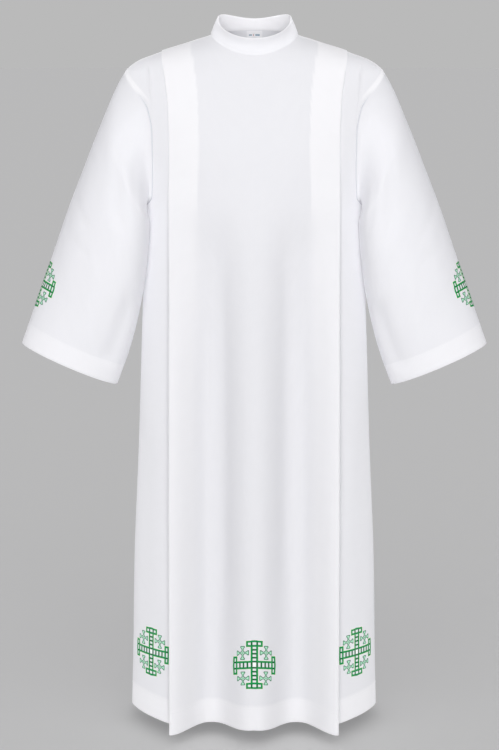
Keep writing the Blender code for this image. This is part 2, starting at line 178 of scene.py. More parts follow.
# body_depth and squareness give the curve round to the side seam. centre, edge and hollow say how far
# forward the centre panel stands at its middle and its fold edge, and how deep the flute between is.
# layer is the distance between the pleat's layers, and fold_x its edge.
FRONT_FORM = Table(
    "drop body_depth squareness centre edge hollow layer fold_x",
    (0.0000, 0.0620, 2.10, 0.062, 0.040, 0.000, 0.0009, 0.1900),
    (0.0400, 0.0850, 2.10, 0.085, 0.060, 0.000, 0.0009, 0.1870),
    (0.0830, 0.1000, 2.15, 0.100, 0.080, 0.000, 0.0012, 0.1791),
    (0.1470, 0.1150, 2.20, 0.115, 0.098, 0.000, 0.0014, 0.1722),
    (0.2200, 0.1225, 2.20, 0.123, 0.100, 0.000, 0.0016, 0.1710),
    (0.3350, 0.1280, 2.15, 0.127, 0.097, 0.006, 0.0020, 0.1740),
    (0.4500, 0.1320, 2.00, 0.130, 0.104, 0.026, 0.0028, 0.1742),
    (0.7000, 0.1450, 1.80, 0.134, 0.119, 0.042, 0.0050, 0.1765),
    (1.0000, 0.1650, 1.65, 0.140, 0.131, 0.048, 0.0070, 0.1795),
    (1.2500, 0.1830, 1.55, 0.144, 0.139, 0.050, 0.0085, 0.1815),
    (1.4620, 0.2000, 1.48, 0.149, 0.148, 0.052, 0.0095, 0.1830),
)
BACK_FORM = Table(
    "drop body_depth squareness centre edge hollow layer fold_x",
    (0.0000, 0.0720, 2.10, 0.072, 0.045, 0.000, 0.0009, 0.1850),
    (0.0400, 0.0920, 2.10, 0.092, 0.064, 0.000, 0.0009, 0.1820),
    (0.0830, 0.1060, 2.15, 0.106, 0.084, 0.000, 0.0012, 0.1740),
    (0.1470, 0.1180, 2.20, 0.118, 0.099, 0.000, 0.0014, 0.1670),
    (0.2200, 0.1230, 2.20, 0.124, 0.101, 0.000, 0.0016, 0.1650),
    (0.3350, 0.1250, 2.15, 0.124, 0.097, 0.006, 0.0020, 0.1665),
    (0.4500, 0.1270, 2.00, 0.125, 0.100, 0.018, 0.0028, 0.1670),
    (0.7000, 0.1400, 1.80, 0.130, 0.117, 0.033, 0.0050, 0.1695),
    (1.0000, 0.1600, 1.65, 0.137, 0.138, 0.045, 0.0070, 0.1720),
    (1.2500, 0.1780, 1.55, 0.143, 0.153, 0.051, 0.0085, 0.1745),
    (1.4620, 0.1950, 1.50, 0.149, 0.166, 0.055, 0.0095, 0.1760),
)

# The armhole's edge, as the distance of the front's and the back's seam from the middle.
ARMHOLE = Table(
    "drop front_x back_x",
    (0.0755, 0.2655, 0.2655),
    (0.0850, 0.2600, 0.2610),
    (0.1470, 0.2140, 0.2330),
    (0.1950, 0.2060, 0.2190),
    (0.2500, 0.2060, 0.2160),
    (0.3250, 0.2100, 0.2180),
    (0.3500, 0.2290, 0.2290),
)

# A sleeve from the shoulder point (0) to the cuff (1): its upper and its lower edge, how far forward
# (-y) each lies, and how far the ring swells to the front and to the back.
SLEEVE_FORM = Table(
    "along top_x top_y top_drop under_x under_y under_drop front_swell back_swell",
    (0.00, 0.2655, 0.000, 0.0755, 0.2290, 0.000, 0.350, 0.084, 0.084),
    (0.20, 0.3184, -0.006, 0.1854, 0.2155, -0.052, 0.380, 0.084, 0.096),
    (0.35, 0.3529, -0.011, 0.2690, 0.2220, -0.053, 0.458, 0.082, 0.094),
    (0.50, 0.3862, -0.016, 0.3520, 0.2335, -0.050, 0.532, 0.078, 0.086),
    (0.65, 0.4170, -0.021, 0.4370, 0.2490, -0.045, 0.600, 0.072, 0.078),
    (0.80, 0.4492, -0.025, 0.5240, 0.2665, -0.040, 0.658, 0.066, 0.070),
    (1.00, 0.4895, -0.030, 0.6330, 0.2900, -0.035, 0.7205, 0.058, 0.060),
)

PANELS = {
    "front": {"form": FRONT_FORM, "armhole": "front_x", "neck_drop": 0.0390, "nape": 0.000, "facing": -1},
    "back": {"form": BACK_FORM, "armhole": "back_x", "neck_drop": 0.0040, "nape": 0.0145, "facing": 1},
}
print("shoulder to hem", HEM_DROP, "m; half the hem's width", OUTLINE.at("half_width", HEM_DROP), "m")

# %% [markdown]
# ## The body's surface
#
# Each half of the body is a rounded box in plan, a superellipse: rounder at the chest, and pulled in
# towards a lens at the hem, where the two panels hang from the side seams. The centre panel doesn't
# follow that curve. It hangs from the collar as a curtain hangs from a rail, so it is written as a
# line of its own: its middle, its fold edge and a flute between them. High on the chest the cloth is
# pressed against the body's curve, and lower down it goes over to its own line.

# %% Body curve, curtain and cloth
PLEAT_DEPTH = 0.060
PLEAT_FREE = (0.10, 0.30)  # drops between which the folds go from pressed flat to hanging
FOLD_TOP_DROP = 0.035  # about where the fold edge meets the shoulder seam
LAYERS_PART = 0.15  # share of the fold edge's distance over which the layers part, from the neck on
NECK_COLUMNS = 0.6  # share of the centre panel's columns that end on the neckline
NECK_COLUMNS_SPREAD = 0.6  # share of the way to the underarm by which they are evenly spaced
NECK_CURVE = 0.85
NAPE_CURVE = 0.7
NAPE_FADE = 0.12
FLUTE_INNER = (0.03, 0.48)  # shares of the way to the fold edge over which a flute falls away
FLUTE_OUTER = (0.53, 1.00)  # and over which it comes forward again
SLOPE_STEP = 0.0005
SHOULDER_DROPS = np.linspace(0, SHOULDER_DROP, 600)
SHOULDER_WIDTHS = OUTLINE.at("half_width", SHOULDER_DROPS)


def vectors(x, y, z):
    return np.stack(np.broadcast_arrays(x, y, z), axis=-1).astype(float)


def shoulder_drop(x):
    """How far down the shoulder line is at this distance from the middle."""
    return np.interp(x, SHOULDER_WIDTHS, SHOULDER_DROPS)


def drop_at(top, down):
    """The drop of a column that starts at top: down is 0 there, 1 at the underarm and 2 at the hem."""
    yoke = mix(top, UNDERARM_DROP, np.minimum(down, 1))
    return np.where(down <= 1, yoke, mix(UNDERARM_DROP, HEM_DROP, down - 1))


def body_depth(panel, x, drop):
    """How far the body's curve stands forward at x."""
    square = panel["form"].at("squareness", drop)
    across = np.minimum(np.abs(x) / OUTLINE.at("half_width", drop), 1.0)
    return panel["form"].at("body_depth", drop) * (1 - across**square) ** (1 / square)


def body_normal(panel, x, drop):
    """The way out of the body's curve at x, square to it across and down."""
    form = panel["form"]
    x = np.maximum(x, 0)
    depth = body_depth(panel, x, drop)

    def fill(drop_here):
        square = form.at("squareness", drop_here)
        across = x / OUTLINE.at("half_width", drop_here)
        return across**square + (depth / form.at("body_depth", drop_here)) ** square

    square = form.at("squareness", drop)
    half_width = OUTLINE.at("half_width", drop)
    front = form.at("body_depth", drop)
    above, below = np.maximum(drop - SLOPE_STEP, 0), drop + SLOPE_STEP
    return unit(
        vectors(
            square / half_width * (x / half_width) ** (square - 1),
            -square / front * (depth / front) ** (square - 1),
            (fill(above) - fill(below)) / (below - above),
        )
    )


def centre_line(form, x, drop):
    """How far the hanging centre panel stands forward: middle, fold edge and the flute between."""
    s = x / form.at("fold_x", drop)
    flat = mix(form.at("centre", drop), form.at("edge", drop), s * s)
    flute = ease(s, *FLUTE_INNER) * (1 - ease(s, *FLUTE_OUTER))
    return flat - form.at("hollow", drop) * flute


def cloth_point(panel, x, drop, layer):
    """A point of the cloth: layer 2 is the centre panel, 1 the cloth turned under it, 0 the side panel."""
    form = panel["form"]
    fold = form.at("fold_x", drop)
    gap = form.at("layer", drop)
    neck_share = NECK_HALF_WIDTH / fold
    lift = layer * gap * ease(x / fold, neck_share, neck_share + LAYERS_PART)
    on_body = vectors(x, -body_depth(panel, x, drop), -drop)
    pressed = on_body + body_normal(panel, x, drop) * lift[..., None]
    if layer:
        forward = centre_line(form, x, drop) - (2 - layer) * gap
    else:
        inner = fold - PLEAT_DEPTH
        under_fold = mix(
            centre_line(form, inner, drop) - 2 * gap,
            body_depth(panel, fold, drop),
            (x - inner) / PLEAT_DEPTH,
        )
        forward = np.where(x < fold, under_fold, body_depth(panel, x, drop))
    hanging = vectors(x, -forward, -drop)
    return mix(pressed, hanging, ease(drop, *PLEAT_FREE)[..., None])


# %% Where each column of cloth runs
def top_drop(panel, x):
    """Drop of the panel's upper edge: the neckline, then the shoulder seam."""
    inside = np.clip(1 - (x / NECK_HALF_WIDTH) ** 2, 0, 1)
    return np.where(x < NECK_HALF_WIDTH, panel["neck_drop"] * inside**NECK_CURVE, shoulder_drop(x))


def nape_rise(panel, x_top, fallen):
    """The back rises to the nape between the shoulder seams."""
    across = np.minimum(x_top / NECK_HALF_WIDTH, 1.0)
    return panel["nape"] * (1 - across**2) ** NAPE_CURVE * (1 - ease(fallen, 0, NAPE_FADE))


def fold_top(panel):
    """How far out the fold edge is on the shoulder seam."""
    form = panel["form"]
    return form.at("fold_x", shoulder_drop(form.at("fold_x", FOLD_TOP_DROP)))


def at_fold(panel, name, down):
    """A size from the panel's table, read down the line of the fold edge."""
    return panel["form"].at(name, drop_at(shoulder_drop(fold_top(panel)), down))


def centre_x(panel, share, down):
    """Where a column of the centre panel runs: the neck's columns end evenly round the neckline."""
    fold = at_fold(panel, "fold_x", down) - at_fold(panel, "layer", down) / 2
    neck = NECK_HALF_WIDTH / (fold_top(panel) - panel["form"].at("layer", 0) / 2)
    round_neck = neck * np.sin(np.pi / 2 * np.minimum(share / NECK_COLUMNS, 1))
    past_neck = mix(neck, 1, (share - NECK_COLUMNS) / (1 - NECK_COLUMNS))
    at_top = np.where(share < NECK_COLUMNS, round_neck, past_neck)
    return fold * mix(at_top, share, ease(down, 0, NECK_COLUMNS_SPREAD))


def edge_x(panel, down):
    """The panel's side edge: the armhole, then the side seam."""
    drop = drop_at(SHOULDER_DROP, down)
    return np.where(down <= 1, ARMHOLE.at(panel["armhole"], drop), OUTLINE.at("half_width", drop))


print("fold edge on the shoulder, front and back:", [round(float(fold_top(p)), 3) for p in PANELS.values()])

# %% [markdown]
# ## From a table to a fine mesh
#
# Each panel is one grid of points: rows run across the robe and columns run down it. A knife pleat
# needs no second piece. Its columns simply run out to the fold edge, round a small half circle, back
# under, round again and out as the side panel. At the hem the rows do the same: they turn round the
# bottom edge and run up again inside, because a real hem is the cloth folded up and sewn down.
#
# The same grid carries two things for the material: a UV map in metres of cloth, so the weave keeps
# its true scale, and a mask that says where cloth lies on cloth, since thin white cloth looks whiter
# there. The same mask also carries painted shade along the armhole seams and painted light inside the
# collar.

# %% Grid helpers
CLOTH_THICK = 0.0005
ROUND_STEPS = 4  # steps of the half circle round a fold
UV_SEAM = 0.004  # how far the UV map runs on where a closed grid meets itself

robe = bpy.data.collections.new("robe")
bpy.context.scene.collection.children.link(robe)


def half_circle(start, end, outward):
    """Points round a fold from one layer to the next, without its two ends."""
    angles = np.pi * np.arange(1, ROUND_STEPS) / ROUND_STEPS
    radius = np.linalg.norm(start - end, axis=-1, keepdims=True) / 2
    middle, arm = (start + end) / 2, (start - end) / 2
    return [middle + outward * radius * math.sin(a) + arm * math.cos(a) for a in angles]


def grid_normals(points, closed=False):
    """The outward normal at each point of a grid whose rows run down and columns run to its right."""
    if closed:
        across = np.roll(points, -1, axis=1) - np.roll(points, 1, axis=1)
    else:
        across = np.gradient(points, axis=1)
    return unit(np.cross(np.gradient(points, axis=0), across))


def lengths_along(points, axis):
    """How much cloth lies between the first point and each other, along the rows or the columns."""
    steps = np.linalg.norm(np.diff(points, axis=axis), axis=-1)
    start = np.zeros_like(np.take(steps, [0], axis=axis))
    return np.cumsum(np.concatenate([start, steps], axis=axis), axis=axis)


# %% From points to a piece of the robe
def mesh_piece(name, points, faces, places):
    """A smooth mesh as a piece of the robe, with a UV map from each point's place in metres."""
    mesh = bpy.data.meshes.new(name)
    mesh.from_pydata(points.reshape(-1, 3).tolist(), [], faces)
    corners = np.empty(len(mesh.loops), int)
    mesh.loops.foreach_get("vertex_index", corners)
    layer = mesh.uv_layers.new(name="cloth")
    layer.data.foreach_set("uv", places.reshape(-1, 2)[corners].reshape(-1).astype(np.float32))
    mesh.shade_smooth()
    piece = bpy.data.objects.new(name, mesh)
    robe.objects.link(piece)
    return piece


def mark_rim(mesh, rows, columns, closed):
    """Marks the edges of the grid's border as sharp."""
    ends = np.zeros(len(mesh.edges) * 2, dtype=np.int32)
    mesh.edges.foreach_get("vertices", ends)
    at_row, at_column = np.divmod(ends.reshape(-1, 2), columns)
    rim = (at_row[:, 0] == at_row[:, 1]) & np.isin(at_row[:, 0], (0, rows - 1))
    if not closed:
        rim |= (at_column[:, 0] == at_column[:, 1]) & np.isin(at_column[:, 0], (0, columns - 1))
    mesh.attributes.new("sharp_edge", "BOOLEAN", "EDGE").data.foreach_set("value", rim)


def cloth_object(name, points, layers_and_painted_shading, closed=False, thick=CLOTH_THICK):
    """A thin shell through the grid, with its mask of where cloth lies on cloth, painted shade and painted
    light.
    """
    rows, columns = points.shape[:2]
    number = np.arange(rows * columns).reshape(rows, columns)
    if closed:
        number = np.concatenate([number, number[:, :1]], axis=1)
    faces = np.stack([number[:-1, :-1], number[1:, :-1], number[1:, 1:], number[:-1, 1:]], axis=-1)
    wide, long = lengths_along(points, 1), lengths_along(points, 0)
    piece = mesh_piece(name, points, faces.reshape(-1, 4).tolist(), np.stack([wide, long], axis=-1))
    if closed:
        corners = piece.data.uv_layers["cloth"].data
        for row in range(rows - 1):
            last = 4 * ((row + 1) * columns - 1)
            for corner in (last + 2, last + 3):
                corners[corner].uv.x = wide[row, -1] + UV_SEAM
    mask = piece.data.attributes.new("layers_and_painted_shading", "FLOAT", "POINT")
    mask.data.foreach_set("value", np.broadcast_to(layers_and_painted_shading, (rows, columns)).reshape(-1).astype(np.float32))
    mark_rim(piece.data, rows, columns, closed)
    if thick:
        shell = piece.modifiers.new("thickness of the cloth", "SOLIDIFY")
        shell.thickness = thick
        shell.offset = 0
    print(f"{name}: {rows} by {columns} points, {wide.max():.3f} m across, {long.max():.3f} m down")
    return piece


# %% [markdown]
# ## Creases listed one by one
#
# Pressed cotton and polyester keeps soft marks: the bend where the front turns back to the armpit, a
# hollow that runs down from the collar, a long ridge beside a flute. Noise would put them anywhere, so
# they are listed here as a dresser would point them out: from where to where, how wide, how deep. A
# crease is a straight line on the cloth with a rounded section that fades at both ends. Depth is
# positive for a trough and negative for a ridge. No two are the same length, and the hidden back gets
# its own.

# %% Crease tables and how they shape the cloth
# Each crease: from x and drop, to x and drop, width and depth.
CREASES = {
    "front": (
        # the pressed bend of the yoke, each side
        (-0.2148, 0.050, -0.2068, 0.172, 0.0014, 0.0030),
        (0.2150, 0.052, 0.2070, 0.168, 0.0014, 0.0030),
        # shallow hollows below the collar
        (-0.060, 0.085, -0.072, 0.330, 0.026, 0.0012),
        (0.063, 0.100, 0.070, 0.300, 0.024, 0.0010),
        # the flutes aren't quite alike
        (-0.061, 0.400, -0.063, 1.300, 0.014, 0.0026),
        (-0.100, 0.480, -0.108, 1.330, 0.018, 0.0014),
        (0.095, 0.420, 0.103, 1.120, 0.020, 0.0010),
        (0.063, 0.330, 0.066, 1.240, 0.015, 0.0025),
        # the crest between the flutes
        (0.001, 0.360, -0.002, 1.400, 0.008, -0.0018),
        # long ridges of the skirt
        (-0.128, 0.520, -0.136, 1.180, 0.016, -0.0013),
        (0.131, 0.560, 0.134, 1.240, 0.016, -0.0012),
        (-0.226, 0.760, -0.236, 1.300, 0.018, 0.0024),
        (0.230, 0.700, 0.238, 1.270, 0.018, 0.0022),
        # little dents beside the pleats
        (-0.155, 0.268, -0.136, 0.292, 0.009, 0.0007),
        (0.150, 0.272, 0.139, 0.290, 0.009, 0.0006),
    ),
    "back": (
        (-0.050, 0.100, -0.066, 0.380, 0.030, 0.0018),
        (0.058, 0.120, 0.071, 0.350, 0.026, 0.0015),
        (0.006, 0.240, 0.002, 0.700, 0.022, 0.0014),
        (-0.060, 0.360, -0.055, 0.930, 0.014, 0.0022),
        (0.052, 0.330, 0.057, 0.840, 0.014, 0.0024),
        (-0.122, 0.600, -0.131, 1.250, 0.018, -0.0016),
        (0.126, 0.540, 0.130, 1.170, 0.016, -0.0014),
        (-0.018, 0.760, -0.014, 1.340, 0.009, 0.0009),
        (0.216, 0.640, 0.234, 1.220, 0.020, 0.0024),
        (-0.214, 0.700, -0.232, 1.330, 0.018, 0.0022),
        (0.190, 0.120, 0.176, 0.330, 0.022, 0.0016),
        (-0.196, 0.130, -0.180, 0.300, 0.020, 0.0014),
    ),
}
CREASE_FADE = 0.22  # share of a crease's length over which it fades at each end


def near(line, distance):
    """How strong a line of this strength and reach still is at a distance from it."""
    strength, reach = line
    return strength * np.exp(-((distance / reach) ** 2))


def crease_depth(creases, across, along):
    """How deep the creases press the cloth at these places."""
    total = np.zeros(np.broadcast(across, along).shape)
    for from_across, from_along, to_across, to_along, width, depth in creases:
        way = np.array([to_across - from_across, to_along - from_along])
        length = np.hypot(*way)
        way = way / length
        place = ((across - from_across) * way[0] + (along - from_along) * way[1]) / length
        away = (across - from_across) * way[1] - (along - from_along) * way[0]
        ends = ease(place, 0, CREASE_FADE) * (1 - ease(place, 1 - CREASE_FADE, 1))
        total += near((depth, width), away) * ends
    return total


print("creases:", {name: len(rows) for name, rows in CREASES.items()})

# %% [markdown]
# ## Front and back
#
# Both panels come from one function, which reads the panel's own table. Rows are closest together at
# the shoulder and the armpit, where the armhole turns, and at the hem.

# %% Steps, seams and folds of a panel
CENTRE_STEPS = 52
UNDERLAY_STEPS = 5
SIDE_STEPS = 44
YOKE_STEPS = 58
SKIRT_STEPS = 118
HEM_STEPS = 9
HEM_HEIGHT = 0.050
HEM_FOLD = 0.0013  # between the two layers of a hem
HEM_WHITE = 0.85  # the turned-up hem looks a little less white than the pressed pleats
SEAM_GAP = 0.0003
SEAM_ALLOWANCE = 0.0040  # half of the strip beside a seam that has the seam's turned cloth behind it
SEAM_FADE = 0.0025
SHOULDER_RIM = 0.0010  # the shoulder seam's turned cloth is pressed to the back, so little of it shows
SEAM_DIP = (0.0014, 0.0013)  # how deep the cloth dips at a seam, and how far from it
PAINTED_SEAM_SHADE = (3.2, 0.0020)  # painted shade: how much darker a turned-in seam's line is painted, and how wide to each side
PRESSED_OPEN = (0.105, 0.140)  # drops between which the armhole's seam goes from pressed flat to turned in
CALM_TOP = (0.03, 0.07)  # drops between which the creases begin
CALM_EDGE = 0.012  # how far from a seam they begin
# How far the flutes hang below the middle of the hem, and how much further each pleat's fold does,
# each with the shares of the way to the fold between which that grows.
FLUTE_SAG = (0.0050, 0.0, 0.25)
FOLD_SAG = (0.0075, 0.55, 1.0)
SAG_FROM = 1.05
FOLD_DIP = (0.0016, 0.0030)  # how the cloth sinks in beside a pleat's fold
FOLD_DIP_FROM = (0.03, 0.10)  # drops between which that begins
STRIP_FADE = (0.300, 0.385)  # drops between which the pleat's layers part
STRIP_EDGE = (-0.0010, 0.0010)  # how sharply the whiteness ends on the pressed pleat's inner edge
LOOSE_EDGE = (-0.010, 0.016)  # and where the pleat hangs loosely
LOOSE_BACKED = 0.65  # how much of the whiteness stays there


def panel_downs():
    """How far down each row lies: 0 at the top, 1 at the underarm and 2 at the hem."""
    yoke = (1 - np.cos(np.pi * np.linspace(0, 1, YOKE_STEPS + 1))) / 2
    hem_top = 2 - HEM_HEIGHT / (HEM_DROP - UNDERARM_DROP)
    skirt = np.linspace(1, hem_top, SKIRT_STEPS + 1)[1:]
    hem = np.linspace(hem_top, 2, HEM_STEPS + 1)[1:]
    return np.concatenate([yoke, skirt, hem])[:, None]


# %% Where the columns of half a panel run
def columns_of_half(panel, down):
    """x, drop and layer of each stretch of columns, from the middle to the side edge."""
    fold, top = at_fold(panel, "fold_x", down), fold_top(panel)
    turn = at_fold(panel, "layer", down) / 2
    centre, under, side = (
        np.linspace(0, 1, steps + 1)[None] for steps in (CENTRE_STEPS, UNDERLAY_STEPS, SIDE_STEPS)
    )
    reach = mix(turn, PLEAT_DEPTH - turn, under)
    beside = mix(top, OUTLINE.at("half_width", SHOULDER_DROP), side)
    stretches = (
        (centre_x(panel, centre, down), top_drop(panel, centre_x(panel, centre, down * 0)), 2),
        (fold - reach, shoulder_drop(top - reach), 1),
        ((fold - reach)[:, -1:], shoulder_drop(top - reach)[:, -1:], 0),
        (mix(fold, edge_x(panel, down), side), shoulder_drop(beside), 0),
    )
    return [(x, drop_at(start, down), layer) for x, start, layer in stretches]


# %% Creases, dips and whiteness of each stretch
def stretch_of_half(name, side, down, x, drop, layer):
    """One stretch of columns with its creases, dips and sag, and its mask."""
    panel = PANELS[name]
    x, drop = np.broadcast_arrays(x, drop)
    fold = at_fold(panel, "fold_x", down)
    points = cloth_point(panel, x, drop, layer)
    if layer == 2:
        points[..., 2] += nape_rise(panel, x[:1], drop - drop[:1])
    to_edge = np.abs(edge_x(panel, down) - x) + (layer != 0)
    turned_in = ease(drop, *PRESSED_OPEN)
    depth = crease_depth(CREASES[name], side * x, drop) * ease(drop, *CALM_TOP) * ease(to_edge, 0, CALM_EDGE)
    depth += near(SEAM_DIP, to_edge) * turned_in
    if layer == 0:
        depth += near(FOLD_DIP, x - fold) * ease(drop, *FOLD_DIP_FROM)
    points -= body_normal(panel, x, drop) * depth[..., None]
    if layer:
        sag = sum(most * ease(x / fold, *shares) for most, *shares in (FLUTE_SAG, FOLD_SAG))
        points[..., 2] -= sag * ease(drop, SAG_FROM, HEM_DROP)
    layers_and_painted_shading = 1 - ease(drop, *STRIP_FADE)
    shoulder = 1 - ease(drop - drop[:1], SHOULDER_RIM, SHOULDER_RIM + SEAM_FADE)
    if layer == 2:
        past_inner = x - (fold - PLEAT_DEPTH)
        layers_and_painted_shading = mix(LOOSE_BACKED * ease(past_inner, *LOOSE_EDGE), ease(past_inner, *STRIP_EDGE), layers_and_painted_shading)
        shoulder = shoulder * (x[:1] > NECK_HALF_WIDTH)
    if layer == 0:
        allowance = (1 - turned_in) * (1 - ease(to_edge, SEAM_ALLOWANCE, SEAM_ALLOWANCE + SEAM_FADE))
        # Painted shade along the turned-in armhole seam. The maximum with the shoulder mask below keeps it
        # from going under single cloth here, so on the panels it only takes whiteness off the seam's strip.
        layers_and_painted_shading = np.maximum(layers_and_painted_shading * (x < fold), allowance) - near(PAINTED_SEAM_SHADE, to_edge) * turned_in
    return points, np.maximum(layers_and_painted_shading, shoulder)


# %% One half of a panel
def half_panel(name, side):
    """Half of a panel on the side's hand (-1 or 1): points with y negative, and the mask."""
    down = panel_downs()
    stretches = [stretch_of_half(name, side, down, *each) for each in columns_of_half(PANELS[name], down)]
    points, mask = stretches[0]
    way = unit(points[:, -1] - points[:, -2])
    for outward, (cloth, layers_and_painted_shading) in zip((way, -way), stretches[1:3]):
        bend = np.stack(half_circle(points[:, -1], cloth[:, 0], outward), axis=1)
        points = np.concatenate([points, bend, cloth], axis=1)
        mask = np.concatenate([mask, *[mask[:, -1:]] * (ROUND_STEPS - 1), layers_and_painted_shading], axis=1)
    points, mask = (np.concatenate(pair, axis=1) for pair in zip((points, mask), stretches[3]))
    points[..., 1] = np.minimum(points[..., 1], -SEAM_GAP / 2)
    points[..., 0] *= side
    return points, mask


# %% Both halves, the turned-up hem and the finished panel
def panel_grid(name):
    """The panel's grid, its right side outwards, and the mask of where cloth lies on cloth, with painted
    shade by the armhole seams.
    """
    halves = [half_panel(name, side) for side in ((-1, 1) if name == "front" else (1, -1))]
    points, mask = (np.concatenate([first[:, :0:-1], then], axis=1) for first, then in zip(*halves))
    points[..., 1] *= -PANELS[name]["facing"]
    return points, mask


def hemmed(points, mask, hem_rows, white, closed=False):
    """The grid with its hem turned up inside over its last rows, and the mask with the hem whiter."""
    normals = grid_normals(points, closed)
    inner = [points[-1 - i] - normals[-1 - i] * HEM_FOLD for i in range(hem_rows + 1)]
    turn = half_circle(points[-1], inner[0], unit(points[-1] - points[-2]))
    points = np.concatenate([points, turn, inner])
    above = mask[: -hem_rows - 1]
    return points, np.concatenate([above, np.full((len(points) - len(above), mask.shape[1]), white)])


grids, panels = {}, {}
for name in PANELS:
    grids[name], mask = panel_grid(name)
    panels[name] = cloth_object(f"{name}_panel", *hemmed(grids[name], mask, HEM_STEPS, HEM_WHITE))

# %% [markdown]
# ## The sleeves
#
# A straight sleeve is a tube, but its top isn't a ring: it is the armhole, a long loop that leans in
# to the armpit. So every column of the sleeve leaves the armhole square to that edge, bends, and then
# runs down the tube. The tube itself is a row of rings between an upper and a lower edge. Where a
# ring would cut into the body's side it is pushed out until it only lies against it.

# %% The tube, the armhole and the bend between them
SLEEVE_GAP = 0.0001
SLEEVE_FREE = 0.2  # share of the sleeve's length over which it turns from the armhole into a tube
SLEEVE_CLEAR = 0.0045
SLEEVE_CLEAR_BY = (0.6, 0.15)  # share of SLEEVE_FREE by which it has that clearance, over and under
UNDERARM_TURN = (1.8, 2.6)  # ring angles between which the sleeve starts to lie against the body
SHOULDER_LIFT = 0.030  # fulness of the sleeve's head beyond the shoulder point
SLEEVE_TILT = 0.05  # the arm hangs a little forward, so the front of each ring sits higher
SLEEVE_LENGTH = 0.60
SLEEVE_RADIUS = 0.085
CUFF_HEIGHT = 0.043
CUFF_WHITE = 0.5  # the cuff's hem is turned up loosely, so it looks less white than the robe's
CUFF_HEM_STEPS = 7
RING_STEPS = 60  # columns from the outer edge to the underarm, on each side
BEND_ROWS = 30
TUBE_ROWS = 76
BEND_SPREAD = 1.3  # above 1, the bend's rows lie closer at the armhole
ALONG_STEP = 0.01
CUFF_SAMPLE = 0.1  # share of the sleeve above the cuff that gives its slope there
SLEEVE_CALM = 0.10  # share of the sleeve over which its creases begin

# Metres round the tube from its outer edge, forwards, and metres down from the shoulder point.
SLEEVE_CREASES = (
    (0.098, 0.030, 0.158, 0.235, 0.024, 0.0036),
    (0.150, 0.060, 0.205, 0.160, 0.014, 0.0016),
    (0.214, 0.300, 0.198, 0.565, 0.020, 0.0054),
    (0.060, 0.120, 0.092, 0.470, 0.030, -0.0024),
    (0.020, 0.255, 0.105, 0.292, 0.013, 0.0012),
    (0.045, 0.345, 0.120, 0.330, 0.012, 0.0010),
    (0.130, 0.300, 0.150, 0.540, 0.018, -0.0016),
    (-0.090, 0.050, -0.150, 0.230, 0.024, 0.0034),
    (-0.205, 0.280, -0.190, 0.560, 0.022, 0.0030),
    (-0.060, 0.150, -0.080, 0.500, 0.026, -0.0022),
    (-0.030, 0.270, -0.110, 0.310, 0.014, 0.0014),
)
SLEEVE_SHIFT = {"sleeve_left": (0.004, 0.012), "sleeve_right": (-0.003, -0.004)}  # the two arms differ


def sleeve_ring(along, angle):
    """A point of the tube: angle 0 is its outer edge, a quarter turn its front, a half turn its inner."""
    def edge(which):
        x, y, drop = (SLEEVE_FORM.at(f"{which}_{part}", along) for part in ("x", "y", "drop"))
        return vectors(x, y, -drop)

    top, under = edge("top"), edge("under")
    side = np.sin(angle)
    front, back = SLEEVE_FORM.at("front_swell", along), SLEEVE_FORM.at("back_swell", along)
    swell = np.where(side > 0, front, back) * side
    ring = (top + under) / 2 + (top - under) / 2 * np.cos(angle)[..., None]
    return ring + vectors(0 * swell, -swell, SLEEVE_TILT * swell)


def clear_of_body(points, clearance):
    """The points, moved out from the body's curve until they have this clearance."""
    x, y, drop = np.abs(points[..., 0]), np.abs(points[..., 1]), -points[..., 2]
    square, depth = (
        np.where(points[..., 1] < 0, FRONT_FORM.at(name, drop), BACK_FORM.at(name, drop))
        for name in ("squareness", "body_depth")
    )
    wide = OUTLINE.at("half_width", drop) + clearance
    inside = (x / wide) ** square + (y / (depth + clearance)) ** square
    out = np.where(inside < 1, np.maximum(inside, 1e-9) ** (-1 / square), 1)
    return points * np.stack([out, out, np.ones_like(out)], axis=-1)


def armhole_edge(panel, shares):
    """The armhole's points from the shoulder to the underarm, and the way the cloth would go on past."""
    down = (1 - np.cos(np.pi * shares)) / 2
    points = cloth_point(panel, edge_x(panel, down), drop_at(SHOULDER_DROP, down), 0)
    points[[0, -1], 1] = 0
    mirror = np.array([1, -1, 1])
    before = np.concatenate([points[1:2] * mirror, points[:-1]])
    after = np.concatenate([points[1:], points[-2:-1] * mirror])
    normal = body_normal(panel, points[:, 0], -points[:, 2])
    return points, unit(np.cross(normal, after - before))


def sleeve_start():
    """The whole armhole from the underarm up the front and down the back: points, ways and ring angles."""
    shares = np.linspace(0, 1, RING_STEPS + 1)
    flip = np.array([1, -1, 1])
    edges = [armhole_edge(panel, shares) for panel in PANELS.values()]
    points, ways = (np.concatenate([front[::-1], back[1:-1] * flip]) for front, back in zip(*edges))
    return points, ways, np.pi * np.concatenate([shares[::-1], -shares[1:-1]])


def sleeve_points(along, start, way, angle):
    """The sleeve's point at each share of its length, on the column that leaves the armhole there."""
    on_ring = sleeve_ring(np.maximum(along, SLEEVE_FREE), angle)
    end = sleeve_ring(SLEEVE_FREE + 0 * along, angle)
    end_way = (sleeve_ring(SLEEVE_FREE + ALONG_STEP + 0 * along, angle) - end) / ALONG_STEP * SLEEVE_FREE
    start = start + way * SLEEVE_GAP
    start_way = way * np.linalg.norm(end - start, axis=-1, keepdims=True)
    lift = SHOULDER_LIFT * np.maximum(np.cos(angle), 0)
    start_way = start_way + vectors(lift, 0 * lift, lift)
    t = np.minimum(along / SLEEVE_FREE, 1)
    bend = along_bend(start, start_way, end, end_way, t[..., None])
    points = np.where((along < SLEEVE_FREE)[..., None], bend, on_ring)
    clear_by = mix(*SLEEVE_CLEAR_BY, ease(np.abs(angle), *UNDERARM_TURN))
    return clear_of_body(points, SLEEVE_CLEAR * ease(t, 0 * clear_by, clear_by))


